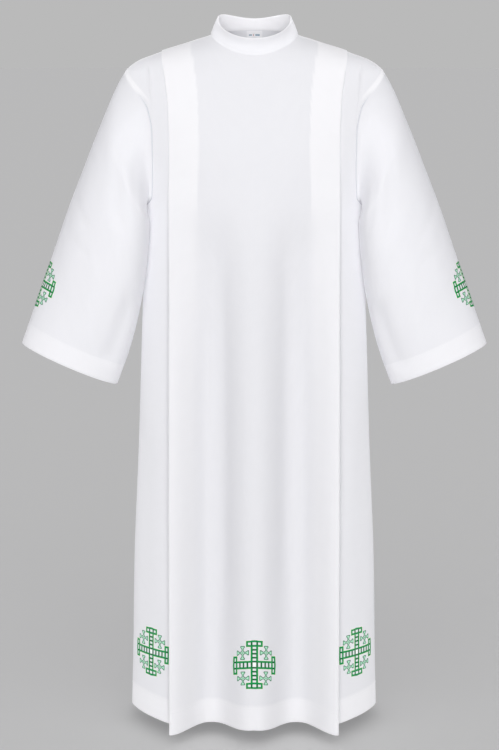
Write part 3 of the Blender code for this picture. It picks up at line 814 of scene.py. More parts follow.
# %% Both sleeves
def sleeve_grid(name):
    """The sleeve's grid with its creases, and its mask."""
    start, way, angle = (part[None] for part in sleeve_start())
    end, before = (sleeve_ring(share + 0 * angle, angle) for share in (1, 1 - CUFF_SAMPLE))
    cuff_top = 1 - CUFF_HEIGHT * CUFF_SAMPLE / np.linalg.norm(end - before, axis=-1)
    bend = SLEEVE_FREE * np.linspace(0, 1, BEND_ROWS + 1)[:, None] ** BEND_SPREAD
    tube = mix(SLEEVE_FREE, cuff_top, np.linspace(0, 1, TUBE_ROWS + 1)[1:, None])
    hem = mix(cuff_top, 1, np.linspace(0, 1, CUFF_HEM_STEPS + 1)[1:, None])
    along = np.concatenate([bend + 0 * angle, tube, hem])
    angle = angle + 0 * along
    metres = along * SLEEVE_LENGTH
    points = sleeve_points(along, start, way, angle)
    forward, down = SLEEVE_SHIFT[name]
    depth = crease_depth(SLEEVE_CREASES, angle * SLEEVE_RADIUS - forward, metres - down)
    turned_in = ease(-points[:1, :, 2], *PRESSED_OPEN)
    depth = depth * ease(along, 0, SLEEVE_CALM) + near(SEAM_DIP, metres) * turned_in
    points -= grid_normals(points, closed=True) * depth[..., None]
    allowance = (1 - turned_in) * (1 - ease(metres, 0.0, SEAM_ALLOWANCE))
    # Painted shade: a line darker than single cloth is painted along the turned-in armhole seam.
    return points, allowance - near(PAINTED_SEAM_SHADE, metres) * turned_in


for name, side in (("sleeve_left", 1), ("sleeve_right", -1)):
    points, mask = sleeve_grid(name)
    full, mask = hemmed(points, mask, CUFF_HEM_STEPS, CUFF_WHITE, closed=True)
    grids[name], full = (grid[:, ::side] * np.array([side, 1, 1]) for grid in (points, full))
    panels[name] = cloth_object(f"{name}_panel", full, mask[:, ::side], closed=True)

# %% [markdown]
# ## The collar
#
# A standing collar is one band folded in two along its top edge, so it is twice as thick as the rest.
# Its outside goes whiter towards that edge, and its inner layer is painted whiter still, as painted
# light inside the neck. It isn't a cylinder: it leans in from the neckline, its lower part flares out
# over the shoulders, and the top dips at the throat. Going up the inside, round the top and down the
# outside in one grid gives both layers and the rounded fold.

# %% Build the collar
COLLAR_HALF_WALL = 0.0011
COLLAR_BASE_HALF_WALL = 0.0005  # it thins towards its seam
COLLAR_THIN_TO = 0.15  # share of its height over which it does
COLLAR_OVERLAP = 0.0010  # how far it reaches down over the panels
COLLAR_TOP_HALF_WIDTH = 0.0735
COLLAR_TOP_DEPTH = {"front": 0.068, "back": 0.066}
COLLAR_TOP_RISE = {"front": -0.0072, "side": 0.0408, "back": 0.0320}
COLLAR_TOP_CURVE = {"front": 0.80, "back": 4.0}
COLLAR_CORNER = (0.0042, 16)  # how far the top rounds down at the sides, and how suddenly
COLLAR_STEPS = 34  # columns from the middle of the front or the back to a shoulder
COLLAR_ROWS = 18
COLLAR_FLARE = {"front": -0.0030, "back": 0.0012}  # how far the band bows in between seam and top
COLLAR_BOW = 0.0006  # how far it bows out all round
COLLAR_BOW_SPREAD = 1.2
COLLAR_RIM = (0.90, 0.98)  # outside, the band's colour goes whiter towards its top edge
COLLAR_INSIDE_PAINTED_LIGHT = 1.3  # painted light: the inner layer is painted the whitest, to stand for light inside the neck
COLLAR_STITCH = 0.0045  # the topstitching lies this far from either edge
COLLAR_GROOVE = (0.0003, 0.0009)  # how deep and how wide to each side it presses the band


def collar_lines(name):
    """Base and top of the collar from the middle of the front or back to the shoulder, on +X."""
    panel = PANELS[name]
    share = np.linspace(0, NECK_COLUMNS, COLLAR_STEPS + 1)
    x = centre_x(panel, share, 0 * share)
    base = cloth_point(panel, x, top_drop(panel, x), 2)
    base[:, 2] += nape_rise(panel, x, 0 * x)
    base[-1, 1] = 0
    turn = np.arcsin(np.minimum(x / NECK_HALF_WIDTH, 1.0))
    rise = mix(COLLAR_TOP_RISE["side"], COLLAR_TOP_RISE[name], np.cos(turn) ** COLLAR_TOP_CURVE[name])
    rise = rise - COLLAR_CORNER[0] * np.sin(turn) ** COLLAR_CORNER[1]
    top = vectors(COLLAR_TOP_HALF_WIDTH * np.sin(turn), -COLLAR_TOP_DEPTH[name] * np.cos(turn), rise)
    base = base - unit(top - base) * COLLAR_OVERLAP
    facing = np.array([1, -PANELS[name]["facing"], 1])
    return base * facing, top * facing, COLLAR_FLARE[name] * np.sqrt(np.cos(turn)) - COLLAR_BOW


def round_the_neck(front, back):
    """One closed ring from a front half and a back half, starting at the throat and going by +X."""
    mirror = np.array([-1, 1, 1]) if front.ndim == 2 else 1
    right = np.concatenate([front, back[-2::-1]])
    return np.concatenate([right, right[-2:0:-1] * mirror])


base, top, flare = (round_the_neck(*pair) for pair in zip(*(collar_lines(name) for name in PANELS)))
up = top - base
height = np.linspace(0, 1, COLLAR_ROWS + 1)[:, None]
inward = unit(np.cross(unit(up), np.roll(base, -1, axis=0) - np.roll(base, 1, axis=0)))
inward *= -np.sign((inward * (top + base) * np.array([1, 1, 0])).sum(-1, keepdims=True))
bowed = flare * np.sin(np.pi * height) ** COLLAR_BOW_SPREAD
middle = base + up * height[..., None] + inward * bowed[..., None]
outward = -grid_normals(middle[::-1], closed=True)[::-1]
outward *= np.sign((outward * -inward).sum(-1, keepdims=True))

# %% Fold the band in two
from_edges = np.minimum(height, 1 - height) * np.linalg.norm(up, axis=-1)
half_wall = mix(COLLAR_BASE_HALF_WALL, COLLAR_HALF_WALL, ease(height, 0.0, COLLAR_THIN_TO))
outer = middle + outward * (half_wall - near(COLLAR_GROOVE, from_edges - COLLAR_STITCH))[..., None]
inner = middle - outward * half_wall[..., None]
fold = half_circle(inner[-1], outer[-1], unit(middle[-1] - middle[-2]))
up_the_band = np.concatenate([height, np.ones((len(fold), 1)), height[::-1]])
collar_mask = ease(up_the_band, *COLLAR_RIM)
# Painted light: the inner layer's mask is raised above doubled cloth's, so the inside of the neck reads
# bright.
collar_mask[: len(height)] = COLLAR_INSIDE_PAINTED_LIGHT
band = np.concatenate([inner, fold, outer[::-1]])
collar = cloth_object("collar_band", band, collar_mask, closed=True, thick=0)

# %% [markdown]
# ## The neck label
#
# A small woven label is sewn below the collar's seam inside the back. It carries three plain woven
# bars and no words. It is made from the back panel's own curve, moved a little into the neck.

# %% Label and its bars
LABEL_SIZE = (0.0325, 0.0235)
LABEL_STEPS = (12, 8)
LABEL_BELOW_SEAM = 0.003
LABEL_INSIDE = 0.0022
LABEL_THICK = 0.0006
LABEL_CURL = 0.0012
BAR_LIFT = 0.0004
BAR_THICK = 0.0002
# Middle, length, height and distance down of each bar.
LABEL_BARS = (
    (-0.0082, 0.0060, 0.0022, 0.0068),
    (-0.0018, 0.0016, 0.0042, 0.0058),
    (0.0064, 0.0090, 0.0030, 0.0064),
)


def label_sheet(name, middle, wide, tall, below, inside, thick):
    """A small sheet inside the neck: its middle across, its size, and how far down and in it lies."""
    panel = PANELS["back"]
    x = middle + wide * np.linspace(-0.5, 0.5, LABEL_STEPS[0] + 1)
    down = below + tall * np.linspace(0, 1, LABEL_STEPS[1] + 1)[:, None]
    drop = panel["neck_drop"] + LABEL_BELOW_SEAM + down
    y = body_depth(panel, x, drop) - inside - LABEL_CURL * (down / LABEL_SIZE[1]) ** 2
    rise = nape_rise(panel, np.abs(x), drop - panel["neck_drop"])
    return cloth_object(name, vectors(x, y, rise - drop), 1.0, thick=thick)


label = label_sheet("label_tape", 0, *LABEL_SIZE, 0, LABEL_INSIDE, LABEL_THICK)
label_bars = [
    label_sheet(f"label_bar_{i}", *bar, LABEL_INSIDE + BAR_LIFT, BAR_THICK)
    for i, bar in enumerate(LABEL_BARS)
]

# %% [markdown]
# ## Laying embroidery on folded cloth
#
# Embroidery is worked flat and hangs with the cloth afterwards. So each motif is drawn flat, in metres
# from its middle, and then carried onto the panel by measuring the same distances along the cloth.
# `cloth_patch` measures a small square of the panel that way once, and `on_patch` reads any place on
# it. The motif bends over folds and nothing in it stretches.

# %% Measuring along the cloth
PATCH_REACH = 0.066
PATCH_STEPS = 89


def read_line(places, along, values):
    """The line's points at these lengths along it."""
    return np.stack([np.interp(places, along, values[:, i]) for i in range(3)], axis=-1)


def cloth_patch(points, row, column, closed=False):
    """Points and normals of the cloth on a square grid of true distances round (row, column)."""
    reach = np.linspace(-PATCH_REACH, PATCH_REACH, PATCH_STEPS)
    normals = grid_normals(points, closed)
    whole = int(round(column))
    down = lengths_along(points[:, whole : whole + 1], 0)[:, 0]
    middle = np.interp(row, np.arange(len(down)), down)
    patch, ways = [], []
    for place in np.interp(middle - reach, down, np.arange(len(down))):
        low = min(int(place), len(points) - 2)
        line, way = (mix(grid[low], grid[low + 1], place - low) for grid in (points, normals))
        across = lengths_along(line[None], 1)[0]
        across -= np.interp(column, np.arange(len(across)), across)
        patch.append(read_line(reach, across, line))
        ways.append(read_line(reach, across, way))
    return np.array(patch), unit(np.array(ways))


def on_patch(patch, u, v, lift):
    """The cloth's point at u to the right and v up from the patch's middle, lifted off the cloth."""
    c, r = ((np.clip(value / PATCH_REACH, -1, 1) + 1) / 2 * (PATCH_STEPS - 1) for value in (u, v))
    low_c, low_r = (np.minimum(value.astype(int), PATCH_STEPS - 2) for value in (c, r))
    part_c, part_r = (c - low_c)[..., None], (r - low_r)[..., None]
    point, normal = (
        mix(*(mix(grid[row, low_c], grid[row, low_c + 1], part_c) for row in (low_r, low_r + 1)), part_r)
        for grid in patch
    )
    return point + unit(normal) * (lift + CLOTH_THICK / 2)[..., None]


# %% [markdown]
# ## Satin stitch as a rounded strip
#
# Satin stitch lays thread side by side across a line, so the line stands up like a cord cut in half.
# Each line of the motif is a strip with that section. Where the strip turns a corner its section is
# set along the corner's middle line, so the strip keeps its width.

# %% Strips of satin stitch
SATIN_STEP = 0.0016
SATIN_HEIGHT = 0.00055
SECTION = np.array(((-1.0, -0.25), (-0.72, 0.62), (0.0, 1.0), (0.72, 0.62), (1.0, -0.25)))  # across, up
SHARPEST_CORNER = 0.5  # limits how far a strip's section is stretched at a corner


def drawn_line(corners, closed=False, step=SATIN_STEP):
    """The line through the corners, with points no further apart than step, and its widths if given."""
    corners = np.array(list(corners) + list(corners[:1]) if closed else corners, float)
    line = [corners[:1]]
    for start, end in zip(corners[:-1], corners[1:]):
        count = max(1, math.ceil(np.hypot(*(end - start)[:2]) / step))
        line.append(mix(start, end, np.linspace(0, 1, count + 1)[1:, None]))
    line = np.concatenate(line)
    return line[:-1] if closed else line


def sideways(line, closed):
    """The way across the line at each point, stretched at corners to keep the strip's width."""
    ahead = np.roll(line, -1, axis=0) - line
    behind = line - np.roll(line, 1, axis=0)
    if not closed:
        ahead[-1], behind[0] = behind[-1], ahead[0]
    first, then = unit(behind), unit(ahead)
    way = unit(first + then)
    stretch = 1 / np.maximum((way * then).sum(-1), SHARPEST_CORNER)
    return np.stack([-way[:, 1], way[:, 0]], axis=-1) * stretch[:, None]


def tube_faces(rings, closed=False):
    """The faces of a tube through rows of point numbers, with a cap on each end where it is open."""
    here, ahead = (rings, np.roll(rings, -1, axis=0)) if closed else (rings[:-1], rings[1:])
    sides = np.stack([here, np.roll(here, -1, axis=1), np.roll(ahead, -1, axis=1), ahead], axis=-1)
    caps = [] if closed else [rings[0, ::-1].tolist(), rings[-1].tolist()]
    return sides.reshape(-1, 4).tolist() + caps


class Stitching:
    """Collects strips for one motif and makes them one mesh, with a material for each thread.

    hang is how the motif was laid on the cloth: how steeply it climbs to the right, and how much both
    of its sides drop. size is how large it was worked."""

    def __init__(self, patch, hang, size):
        self.patch, self.hang, self.size = patch, hang, size
        self.points, self.places, self.faces, self.threads = [], [], [], []

    def strip(self, corners, width, thread, closed=False, height=SATIN_HEIGHT, step=SATIN_STEP):
        line = drawn_line(corners, closed, step)
        middle, widths = line[:, :2], line[:, 2] if line.shape[1] > 2 else np.full(len(line), width)
        out = widths[:, None] / 2 * SECTION[:, 0]
        flat = middle[:, None] + sideways(middle, closed)[:, None] * out[..., None]
        u, v = np.moveaxis(flat * self.size, -1, 0)
        hung = v + self.hang[0] * u - self.hang[1] * u**2
        along = lengths_along(middle[None], 1)[0]
        rings = len(SECTION) * sum(map(len, self.points)) + np.arange(out.size).reshape(out.shape)
        faces = tube_faces(rings, closed)
        self.points.append(on_patch(self.patch, u, hung, SECTION[:, 1] * height))
        self.places.append(np.stack([out, along[:, None] + 0 * out], axis=-1))
        self.faces += faces
        self.threads += [thread] * len(faces)

    def finished(self, name, threads):
        piece = mesh_piece(name, np.concatenate(self.points), self.faces, np.concatenate(self.places))
        for material in threads:
            piece.data.materials.append(material)
        piece.data.polygons.foreach_set("material_index", self.threads)
        print(f"{name}: {len(self.faces)} faces")
        return piece


# %% [markdown]
# ## The cross
#
# The motif is the Jerusalem cross, a very old one: a large cross whose arms end in bars, with four
# small crosses between them. Here the large cross is worked as ladders, in outline with rungs, and the
# small ones in pale green with a darker edge. A fine cream thread runs round the outside. One arm and
# one small cross are drawn, and turned to make the rest.

# %% Draw one motif
ARM_HALF_WIDTH = {"upright": 0.0059, "level": 0.0070}
ARM_RUNGS = 5
ARM_LENGTH = {"upright": 0.0427, "level": 0.0432}  # from the middle to the bar across the arm's end
BAR_DEPTH = {"upright": 0.0100, "level": 0.0082}
BAR_HALF_WIDTH = {"upright": 0.0162, "level": 0.0184}
BAR_BOW = 0.0006  # the outer side of each bar bows out a little
RAIL_WIDTH = 0.0049
RUNG_WIDTH = 0.0042
EDGING_WIDTH = 0.0008
EDGING_HEIGHT = 0.0003
EDGING_OUT = 0.0025
FILLING_HEIGHT = 0.0004
SMALL_PLACES = ((-0.0270, 0.0275), (0.0270, 0.0275), (-0.0262, -0.0300), (0.0262, -0.0300))
SMALL_EDGE = 0.0019
SMALL_STEP = 0.0011
SMALL_RING = (0.0019, 0.0008, 8)  # radius, width and corners of the ring in a small cross
# Distance from the small cross's middle and half the arm's width there.
SMALL_ARM = (
    (0.0000, 0.0015), (0.0050, 0.0013), (0.0085, 0.0016), (0.0108, 0.0032), (0.0128, 0.0050), (0.0146, 0.0046)
)
OTHER_WAY = {"upright": "level", "level": "upright"}
GREEN, DEEP_GREEN, MINT, SAGE, CREAM, WHITE = range(6)  # the threads' places in the list below


def both_sides(right):
    """A run of corners up the right side and down the left."""
    return [*right, *((-x, y) for x, y in reversed(right))]


def turned(point, quarter):
    """The point after this many quarter turns, with any width it carries."""
    x, y = point[:2]
    for _ in range(quarter):
        x, y = -y, x
    return (x, y, *point[2:])


def arm(stitching, quarter, way):
    """One arm as a ladder: rungs, two rails that run on into the bar, and the bar's outline."""
    length, a, bar = ARM_LENGTH[way], ARM_HALF_WIDTH[way], BAR_HALF_WIDTH[way]
    start, top = ARM_HALF_WIDTH[OTHER_WAY[way]], length + BAR_DEPTH[way]

    def line(*corners, closed=False, width=RAIL_WIDTH, thread=GREEN):
        stitching.strip([turned(corner, quarter) for corner in corners], width, thread, closed)

    for rung in range(ARM_RUNGS):
        at = mix(start, length, rung / (ARM_RUNGS - 1))
        line((-a, at), (a, at), width=RUNG_WIDTH, thread=DEEP_GREEN)
    for side in (-a, a):
        line((side, start), (side, length))
        line((side, length), (side, top), width=RUNG_WIDTH, thread=DEEP_GREEN)
    outer = ((bar, top - BAR_BOW), (0, top + BAR_BOW), (-bar, top - BAR_BOW))
    line((-bar, length), (bar, length), *outer, closed=True)


# %% The edging, a small cross and the whole motif
def edging(stitching, ways):
    """The cream thread just outside the large cross."""
    corners = []
    for quarter, way in enumerate(ways):
        a, bar = ARM_HALF_WIDTH[way] + EDGING_OUT, BAR_HALF_WIDTH[way] + EDGING_OUT
        start, low = ARM_HALF_WIDTH[OTHER_WAY[way]] + EDGING_OUT, ARM_LENGTH[way] - EDGING_OUT
        top = ARM_LENGTH[way] + BAR_DEPTH[way] + EDGING_OUT
        side = [(a, start), *both_sides([(a, low), (bar, low), (bar, top - BAR_BOW)])]
        corners += [turned(corner, quarter) for corner in side]
    stitching.strip(corners, EDGING_WIDTH, CREAM, closed=True, height=EDGING_HEIGHT)


def small_cross(stitching, middle):
    """A filled cross, its darker edge and a small ring in its middle."""
    def place(point, quarter=0):
        x, y, *width = turned(point, quarter)
        return (middle[0] + x, middle[1] + y, *width)

    for quarter in range(4):
        filling = [place((0, out, 2 * half), quarter) for out, half in SMALL_ARM]
        stitching.strip(filling, 0, MINT, height=FILLING_HEIGHT)
    outline = both_sides([(half, out) for out, half in SMALL_ARM[1:]])
    edge = [place(point, quarter) for quarter in range(4) for point in outline]
    stitching.strip(edge, SMALL_EDGE, SAGE, closed=True, step=SMALL_STEP)
    radius, width, count = SMALL_RING
    angles = np.linspace(0, 2 * math.pi, count + 1)[:-1]
    ring = [place((radius * math.cos(angle), radius * math.sin(angle))) for angle in angles]
    stitching.strip(ring, width, SAGE, closed=True, step=SMALL_STEP)


def cross(name, patch, hang, size):
    """The whole motif on its patch of cloth."""
    stitching = Stitching(patch, hang, size)
    ways = ("upright", "level", "upright", "level")
    for quarter, way in enumerate(ways):
        arm(stitching, quarter, way)
    across, high = ARM_HALF_WIDTH["upright"], ARM_HALF_WIDTH["level"] - RUNG_WIDTH / 2
    stitching.strip([(0, -high), (0, high)], 2 * across - RUNG_WIDTH, WHITE, height=FILLING_HEIGHT)
    edging(stitching, ways)
    for place in SMALL_PLACES:
        small_cross(stitching, place)
    return stitching.finished(name, threads)


# %% [markdown]
# ## Embroidery thread
#
# The threads are glossy rayon. Laid side by side across each strip they make fine ribs, which a node
# group draws as heights from the strip's own UV map: its first value runs across the strip and its
# second along it, in metres.

# %% Node helpers
def node(tree, kind, inputs=(), **settings):
    """Adds a node, sets its options, and fills its inputs with values or links."""
    made = tree.nodes.new(kind)
    for name, value in settings.items():
        setattr(made, name, value)
    for slot, value in dict(inputs).items():
        socket = made.inputs[slot]
        if isinstance(value, bpy.types.NodeSocket):
            tree.links.new(value, socket)
        else:
            socket.default_value = value
    return made


def maths(tree, operation, *values):
    return node(tree, "ShaderNodeMath", dict(enumerate(values)), operation=operation).outputs[0]


def mixed(tree, share, first, then, **settings):
    inputs = {"Factor": share, "A": first, "B": then}
    return node(tree, "ShaderNodeMix", inputs, data_type="RGBA", **settings).outputs["Result"]


def noise(tree, place, scale, detail, **settings):
    inputs = {"Vector": place, "Scale": scale, "Detail": detail}
    return node(tree, "ShaderNodeTexNoise", inputs, **settings).outputs["Fac"]


def bump(tree, height, distance, strength, **more):
    inputs = {"Height": height, "Distance": distance, "Strength": strength, **more}
    return node(tree, "ShaderNodeBump", inputs).outputs[0]


def shader_group(name, inputs):
    """A new node group that puts out a height and a shade, with its inputs and their usual values."""
    group = bpy.data.node_groups.new(name, "ShaderNodeTree")
    for label, kind, usual in inputs:
        socket = group.interface.new_socket(label, in_out="INPUT", socket_type=f"NodeSocket{kind}")
        if usual is not None:
            socket.default_value = usual
    for label in ("Height", "Shade"):
        group.interface.new_socket(label, in_out="OUTPUT", socket_type="NodeSocketFloat")
    return group, group.nodes.new("NodeGroupInput").outputs, group.nodes.new("NodeGroupOutput").inputs


def new_material(name, sockets):
    """A new material, its node tree and its Principled shader, which has these values."""
    material = bpy.data.materials.new(name)
    material.use_nodes = True
    shader = material.node_tree.nodes["Principled BSDF"]
    for socket, value in sockets.items():
        shader.inputs[socket].default_value = value
    return material, material.node_tree, shader


# %% Thread materials
THREAD_SLANT = 0.18  # how much each thread leans across its strip
RIB_HEIGHT = 0.00012


def satin_rows():
    """Ribs of thread laid side by side along a strip, and the shade of each thread."""
    tree, given, out = shader_group(
        "satin rows", (("Strip place", "Vector", None), ("Threads per metre", "Float", 2400.0))
    )
    split = node(tree, "ShaderNodeSeparateXYZ", {0: given["Strip place"]}).outputs
    slant = maths(tree, "MULTIPLY", split["X"], THREAD_SLANT)
    along = maths(tree, "MULTIPLY", maths(tree, "ADD", split["Y"], slant), given["Threads per metre"])
    rib = maths(tree, "ABSOLUTE", maths(tree, "SINE", maths(tree, "MULTIPLY", along, math.pi)))
    tint = node(tree, "ShaderNodeTexWhiteNoise", {"W": maths(tree, "FLOOR", along)}, noise_dimensions="1D")
    tree.links.new(rib, out["Height"])
    tree.links.new(tint.outputs["Value"], out["Shade"])
    return tree


def thread_material(name, colour, light=1.2):
    """Glossy thread; light is how much lighter its lightest threads are."""
    material, tree, shader = new_material(name, {"Roughness": 0.5, "Specular IOR Level": 0.16})
    place = node(tree, "ShaderNodeUVMap", uv_map="cloth").outputs[0]
    rows = node(tree, "ShaderNodeGroup", {"Strip place": place}, node_tree=satin).outputs
    lighter = tuple(min(1, part * light) for part in colour)
    paint = mixed(tree, rows["Shade"], colour + (1,), lighter + (1,))
    tree.links.new(paint, shader.inputs["Base Color"])
    tree.links.new(bump(tree, rows["Height"], RIB_HEIGHT, 0.7), shader.inputs["Normal"])
    return material


satin = satin_rows()
threads = [
    thread_material("green_thread", (0.001, 0.245, 0.058)),
    thread_material("deep_green_thread", (0.001, 0.120, 0.028)),
    thread_material("mint_thread", (0.370, 0.680, 0.490)),
    thread_material("sage_thread", (0.020, 0.140, 0.062)),
    thread_material("cream_thread", (0.840, 0.830, 0.660)),
    thread_material("white_thread", (0.900, 0.900, 0.900), light=1.0),
]
print("threads:", [material.name for material in threads])

# %% Work the six crosses
HEM_CROSS_DROP = 1.312
MIDDLE_SHIFT = 0.25  # columns
MIDDLE_HANG = (0.0, 3.3)
SIDE_CROSS_X = 0.2240
SIDE_CROSS_SLANT = 0.09
BACK_CROSS_DROP = 0.190
SLEEVE_CROSS_DROP = 0.507
SLEEVE_CROSS_FORWARD = 3.5  # columns from the outer edge towards the front
SLEEVE_CROSS_SIZE = 0.91
SLEEVE_CROSS_CLIMB = 0.17


def row_at(points, column, drop):
    return np.interp(drop, -points[:, column, 2], np.arange(len(points)))


def side_column(points, row, x):
    """The column of the side panel, right of the pleat, at this distance from the middle."""
    line = points[int(round(row)), -SIDE_STEPS - 1 :, 0]
    return len(points[0]) - len(line) + np.interp(x, line, np.arange(len(line)))


front, back = grids["front"], grids["back"]
last = front.shape[1] - 1
middle = last // 2
side_row = row_at(front, last - SIDE_STEPS // 2, HEM_CROSS_DROP)
beside = side_column(front, side_row, SIDE_CROSS_X)
# Panel, row and column of each cross's middle, how it hangs and how large it was worked.
cross_places = {
    "front_middle": (front, row_at(front, middle, HEM_CROSS_DROP), middle + MIDDLE_SHIFT, MIDDLE_HANG, 1.0),
    "front_left": (front, side_row, beside, (-SIDE_CROSS_SLANT, 0.0), 1.0),
    "front_right": (front, side_row, last - beside, (SIDE_CROSS_SLANT, 0.0), 1.0),
    "back": (back, row_at(back, middle, BACK_CROSS_DROP), middle, (0.0, 0.0), 1.0),
}
for name, edge, way in (("sleeve_left", RING_STEPS, -1), ("sleeve_right", RING_STEPS - 1, 1)):
    row, column = row_at(grids[name], edge, SLEEVE_CROSS_DROP), edge + way * SLEEVE_CROSS_FORWARD
    cross_places[name] = (grids[name], row, column, (way * SLEEVE_CROSS_CLIMB, 0.0), SLEEVE_CROSS_SIZE)
crosses = [
    cross(f"cross_{name}", cloth_patch(grid, row, column, closed=name.startswith("sleeve")), hang, size)
    for name, (grid, row, column, hang, size) in cross_places.items()
]

# %% [markdown]
# ## Stitches
#
# Hems, cuffs and collar are sewn with a lock stitch, which shows as a row of short dashes that dip
# into the cloth at both ends. Each is a small bent thread. A row holds hundreds of them, so they are
# made together as one mesh, with numpy, from one small tube that is copied along the row.

# %% A row of stitches
STITCH_PITCH = 0.0032
STITCH_LENGTH = 0.0025
STITCH_THICK = 0.00042
STITCH_TIP = 0.08  # how thin its sunk ends get
STITCH_STEPS = 5
STITCH_SIDES = 5
STITCH_LIFT = 0.00030
STITCH_SUNK = 0.00012


def row_of_stitches(name, line, normals, closed, material):
    """Stitches along a line of points on the cloth, standing off to the normals' side.

    Each is a tube whose middle line bends into the cloth at both ends, where it also gets thinner."""
    if closed:
        line, normals = (np.concatenate([part, part[:1]]) for part in (line, normals))
    along = lengths_along(line[None], 1)[0]
    count = int(along[-1] / STITCH_PITCH)
    centres = (np.arange(count) + 0.5) * along[-1] / count
    share = np.linspace(-0.5, 0.5, STITCH_STEPS)
    places = centres[:, None] + share * STITCH_LENGTH
    normal = unit(read_line(places, along, normals))
    bend = mix(STITCH_LIFT, -STITCH_SUNK, (2 * share) ** 4)
    middle = read_line(places, along, line) + normal * bend[:, None]
    way = unit(np.gradient(middle, axis=1))
    across = unit(np.cross(way, normal))
    taper = STITCH_THICK / 2 * np.sqrt(np.maximum(1 - (2 * share) ** 6, STITCH_TIP))[:, None]
    turns = 2 * np.pi * np.arange(STITCH_SIDES) / STITCH_SIDES
    rings = [middle + (across * math.cos(t) + np.cross(across, way) * math.sin(t)) * taper for t in turns]
    points = np.stack(rings, axis=2)
    numbers = np.arange(points[..., 0].size).reshape(points.shape[:3])[..., ::-1]
    faces = [face for stitch in numbers for face in tube_faces(stitch)]
    round_thread = np.arange(STITCH_SIDES) * STITCH_THICK
    thread_place = np.stack(np.broadcast_arrays(round_thread, places[..., None]), axis=-1)
    piece = mesh_piece(name, points, faces, thread_place)
    piece.data.materials.append(material)
    print(f"{name}: {count} stitches")
    return piece


sewing_thread = thread_material("sewing_thread", (0.780, 0.790, 0.810), light=1.06)

# %% Sew the hems, the cuffs and the collar
HEM_STITCH_BELOW = 0.0015  # the row lies this far below the hem's upper edge
stitches = []
for name in panels:
    closed = name.startswith("sleeve")
    hem_rows, height = (CUFF_HEM_STEPS, CUFF_HEIGHT) if closed else (HEM_STEPS, HEM_HEIGHT)
    points = grids[name]
    row = len(points) - 1 - hem_rows
    normals = grid_normals(points, closed)[row]
    line = mix(points[row], points[row + 1], HEM_STITCH_BELOW / (height / hem_rows))
    line += normals * CLOTH_THICK / 2
    stitches.append(row_of_stitches(f"stitches_{name}_hem", line, normals, closed, sewing_thread))
up_the_band = np.linalg.norm(np.diff(outer, axis=0), axis=-1).mean(-1).cumsum()
for edge, height in (("seam", COLLAR_STITCH), ("top", up_the_band[-1] - COLLAR_STITCH)):
    row = int(np.searchsorted(up_the_band, height)) + 1
    name = f"stitches_collar_{edge}"
    stitches.append(row_of_stitches(name, outer[row], outward[row], True, sewing_thread))

# %% [markdown]
# ## The weave
#
# Plain weave is the simplest there is: every thread goes over one and under the next. A node group can
# draw it from the cloth's own UV map, which is in metres, so one value sets the real distance between
# threads. The group also lets some threads run a little thick or thin, as spun cotton does. It puts out
# heights and a shade, never a shader, so each material can use it with its own values. The shade is
# the threads' uneven tone plus painted shade, darker where the weave lies lower, between the threads.
# The small soft unevenness that ironing leaves is added in the material.

# %% The plain weave group
STREAKS = ((1.0, 0.012, 1.0), (0.012, 1.0, 1.0))  # stretched along the warp, and along the weft
STREAK_SCALE = 0.8
# Painted shade between the threads: how much darker the weave's low places are painted.
PAINTED_SHADE_OF_HEIGHT = 0.25


def plain_weave():
    """Heights of a plain weave, with uneven threads, from a UV map in metres, and a shade painted darker
    where the weave lies lower.
    """
    tree, given, out = shader_group(
        "plain weave",
        (
            ("Cloth place", "Vector", None),
            ("Threads per metre", "Float", 2600.0),
            ("Unevenness", "Float", 0.35),
        ),
    )
    scale = {0: given["Cloth place"], "Scale": given["Threads per metre"]}
    scaled = node(tree, "ShaderNodeVectorMath", scale, operation="SCALE").outputs[0]
    split = node(tree, "ShaderNodeSeparateXYZ", {0: scaled}).outputs
    waves = [maths(tree, "SINE", maths(tree, "MULTIPLY", split[axis], math.pi)) for axis in "XY"]
    warp, weft = (maths(tree, "ABSOLUTE", wave) for wave in waves)
    over = maths(tree, "GREATER_THAN", maths(tree, "MULTIPLY", *waves), 0.0)
    on_top = maths(tree, "MULTIPLY", over, warp)
    height = maths(tree, "ADD", on_top, maths(tree, "MULTIPLY", maths(tree, "SUBTRACT", 1.0, over), weft))
    streaks = []
    for stretch in STREAKS:
        place = node(tree, "ShaderNodeVectorMath", {0: scaled, 1: stretch}, operation="MULTIPLY").outputs[0]
        streak = noise(tree, place, STREAK_SCALE, 1.0, noise_dimensions="2D")
        streaks.append(maths(tree, "SUBTRACT", streak, 0.5))
    uneven = maths(tree, "MULTIPLY", maths(tree, "ADD", *streaks), given["Unevenness"])
    # The shade is the uneven threads' tone plus painted shade where the weave lies lower.
    shade = maths(tree, "ADD", uneven, maths(tree, "MULTIPLY", height, PAINTED_SHADE_OF_HEIGHT))
    tree.links.new(maths(tree, "ADD", height, uneven), out["Height"])
    tree.links.new(shade, out["Shade"])
    return tree


weave = plain_weave()
print("weave group:", len(weave.nodes), "nodes")

# %% [markdown]
# ## White cloth, single and doubled
#
# White isn't one colour. A single layer of thin cloth lets some light through and looks a touch grey
# and cool. Where a hem, a pleat or a seam's turned edge lies behind it, it looks whiter. A mask
# attribute carries that, and the material mixes two whites with it. The same mask carries painted
# shade, which is a darker line along the turned-in armhole seams, and painted light, which is the collar's
# inside painted whiter. Cotton is matt, so it is rough, with a little sheen for the fibre ends that catch
# light at the edges.

# %% Materials of the cloth
SINGLE_WHITE = (0.834, 0.834, 0.860, 1)
BACKED_WHITE = (0.916, 0.912, 0.932, 1)
CLOTH_ROUGHNESS = 0.82
THREAD_HEIGHT = 0.00007
SEE_THROUGH = 0.22  # share of the light that shines through
SHADE_DEPTH = 0.035  # how strongly the weave's shade darkens the cloth: painted shade in the gaps between threads and the uneven threads' tone
MIDDLE_SHADE = 0.2  # the weave's usual shade
CLOUDS = (38.0, 3.0, 0.02)  # scale, detail and strength of the cloth's soft unevenness
IRONED = (26.0, 4.0, 0.0009)  # scale, detail and height of what the iron left


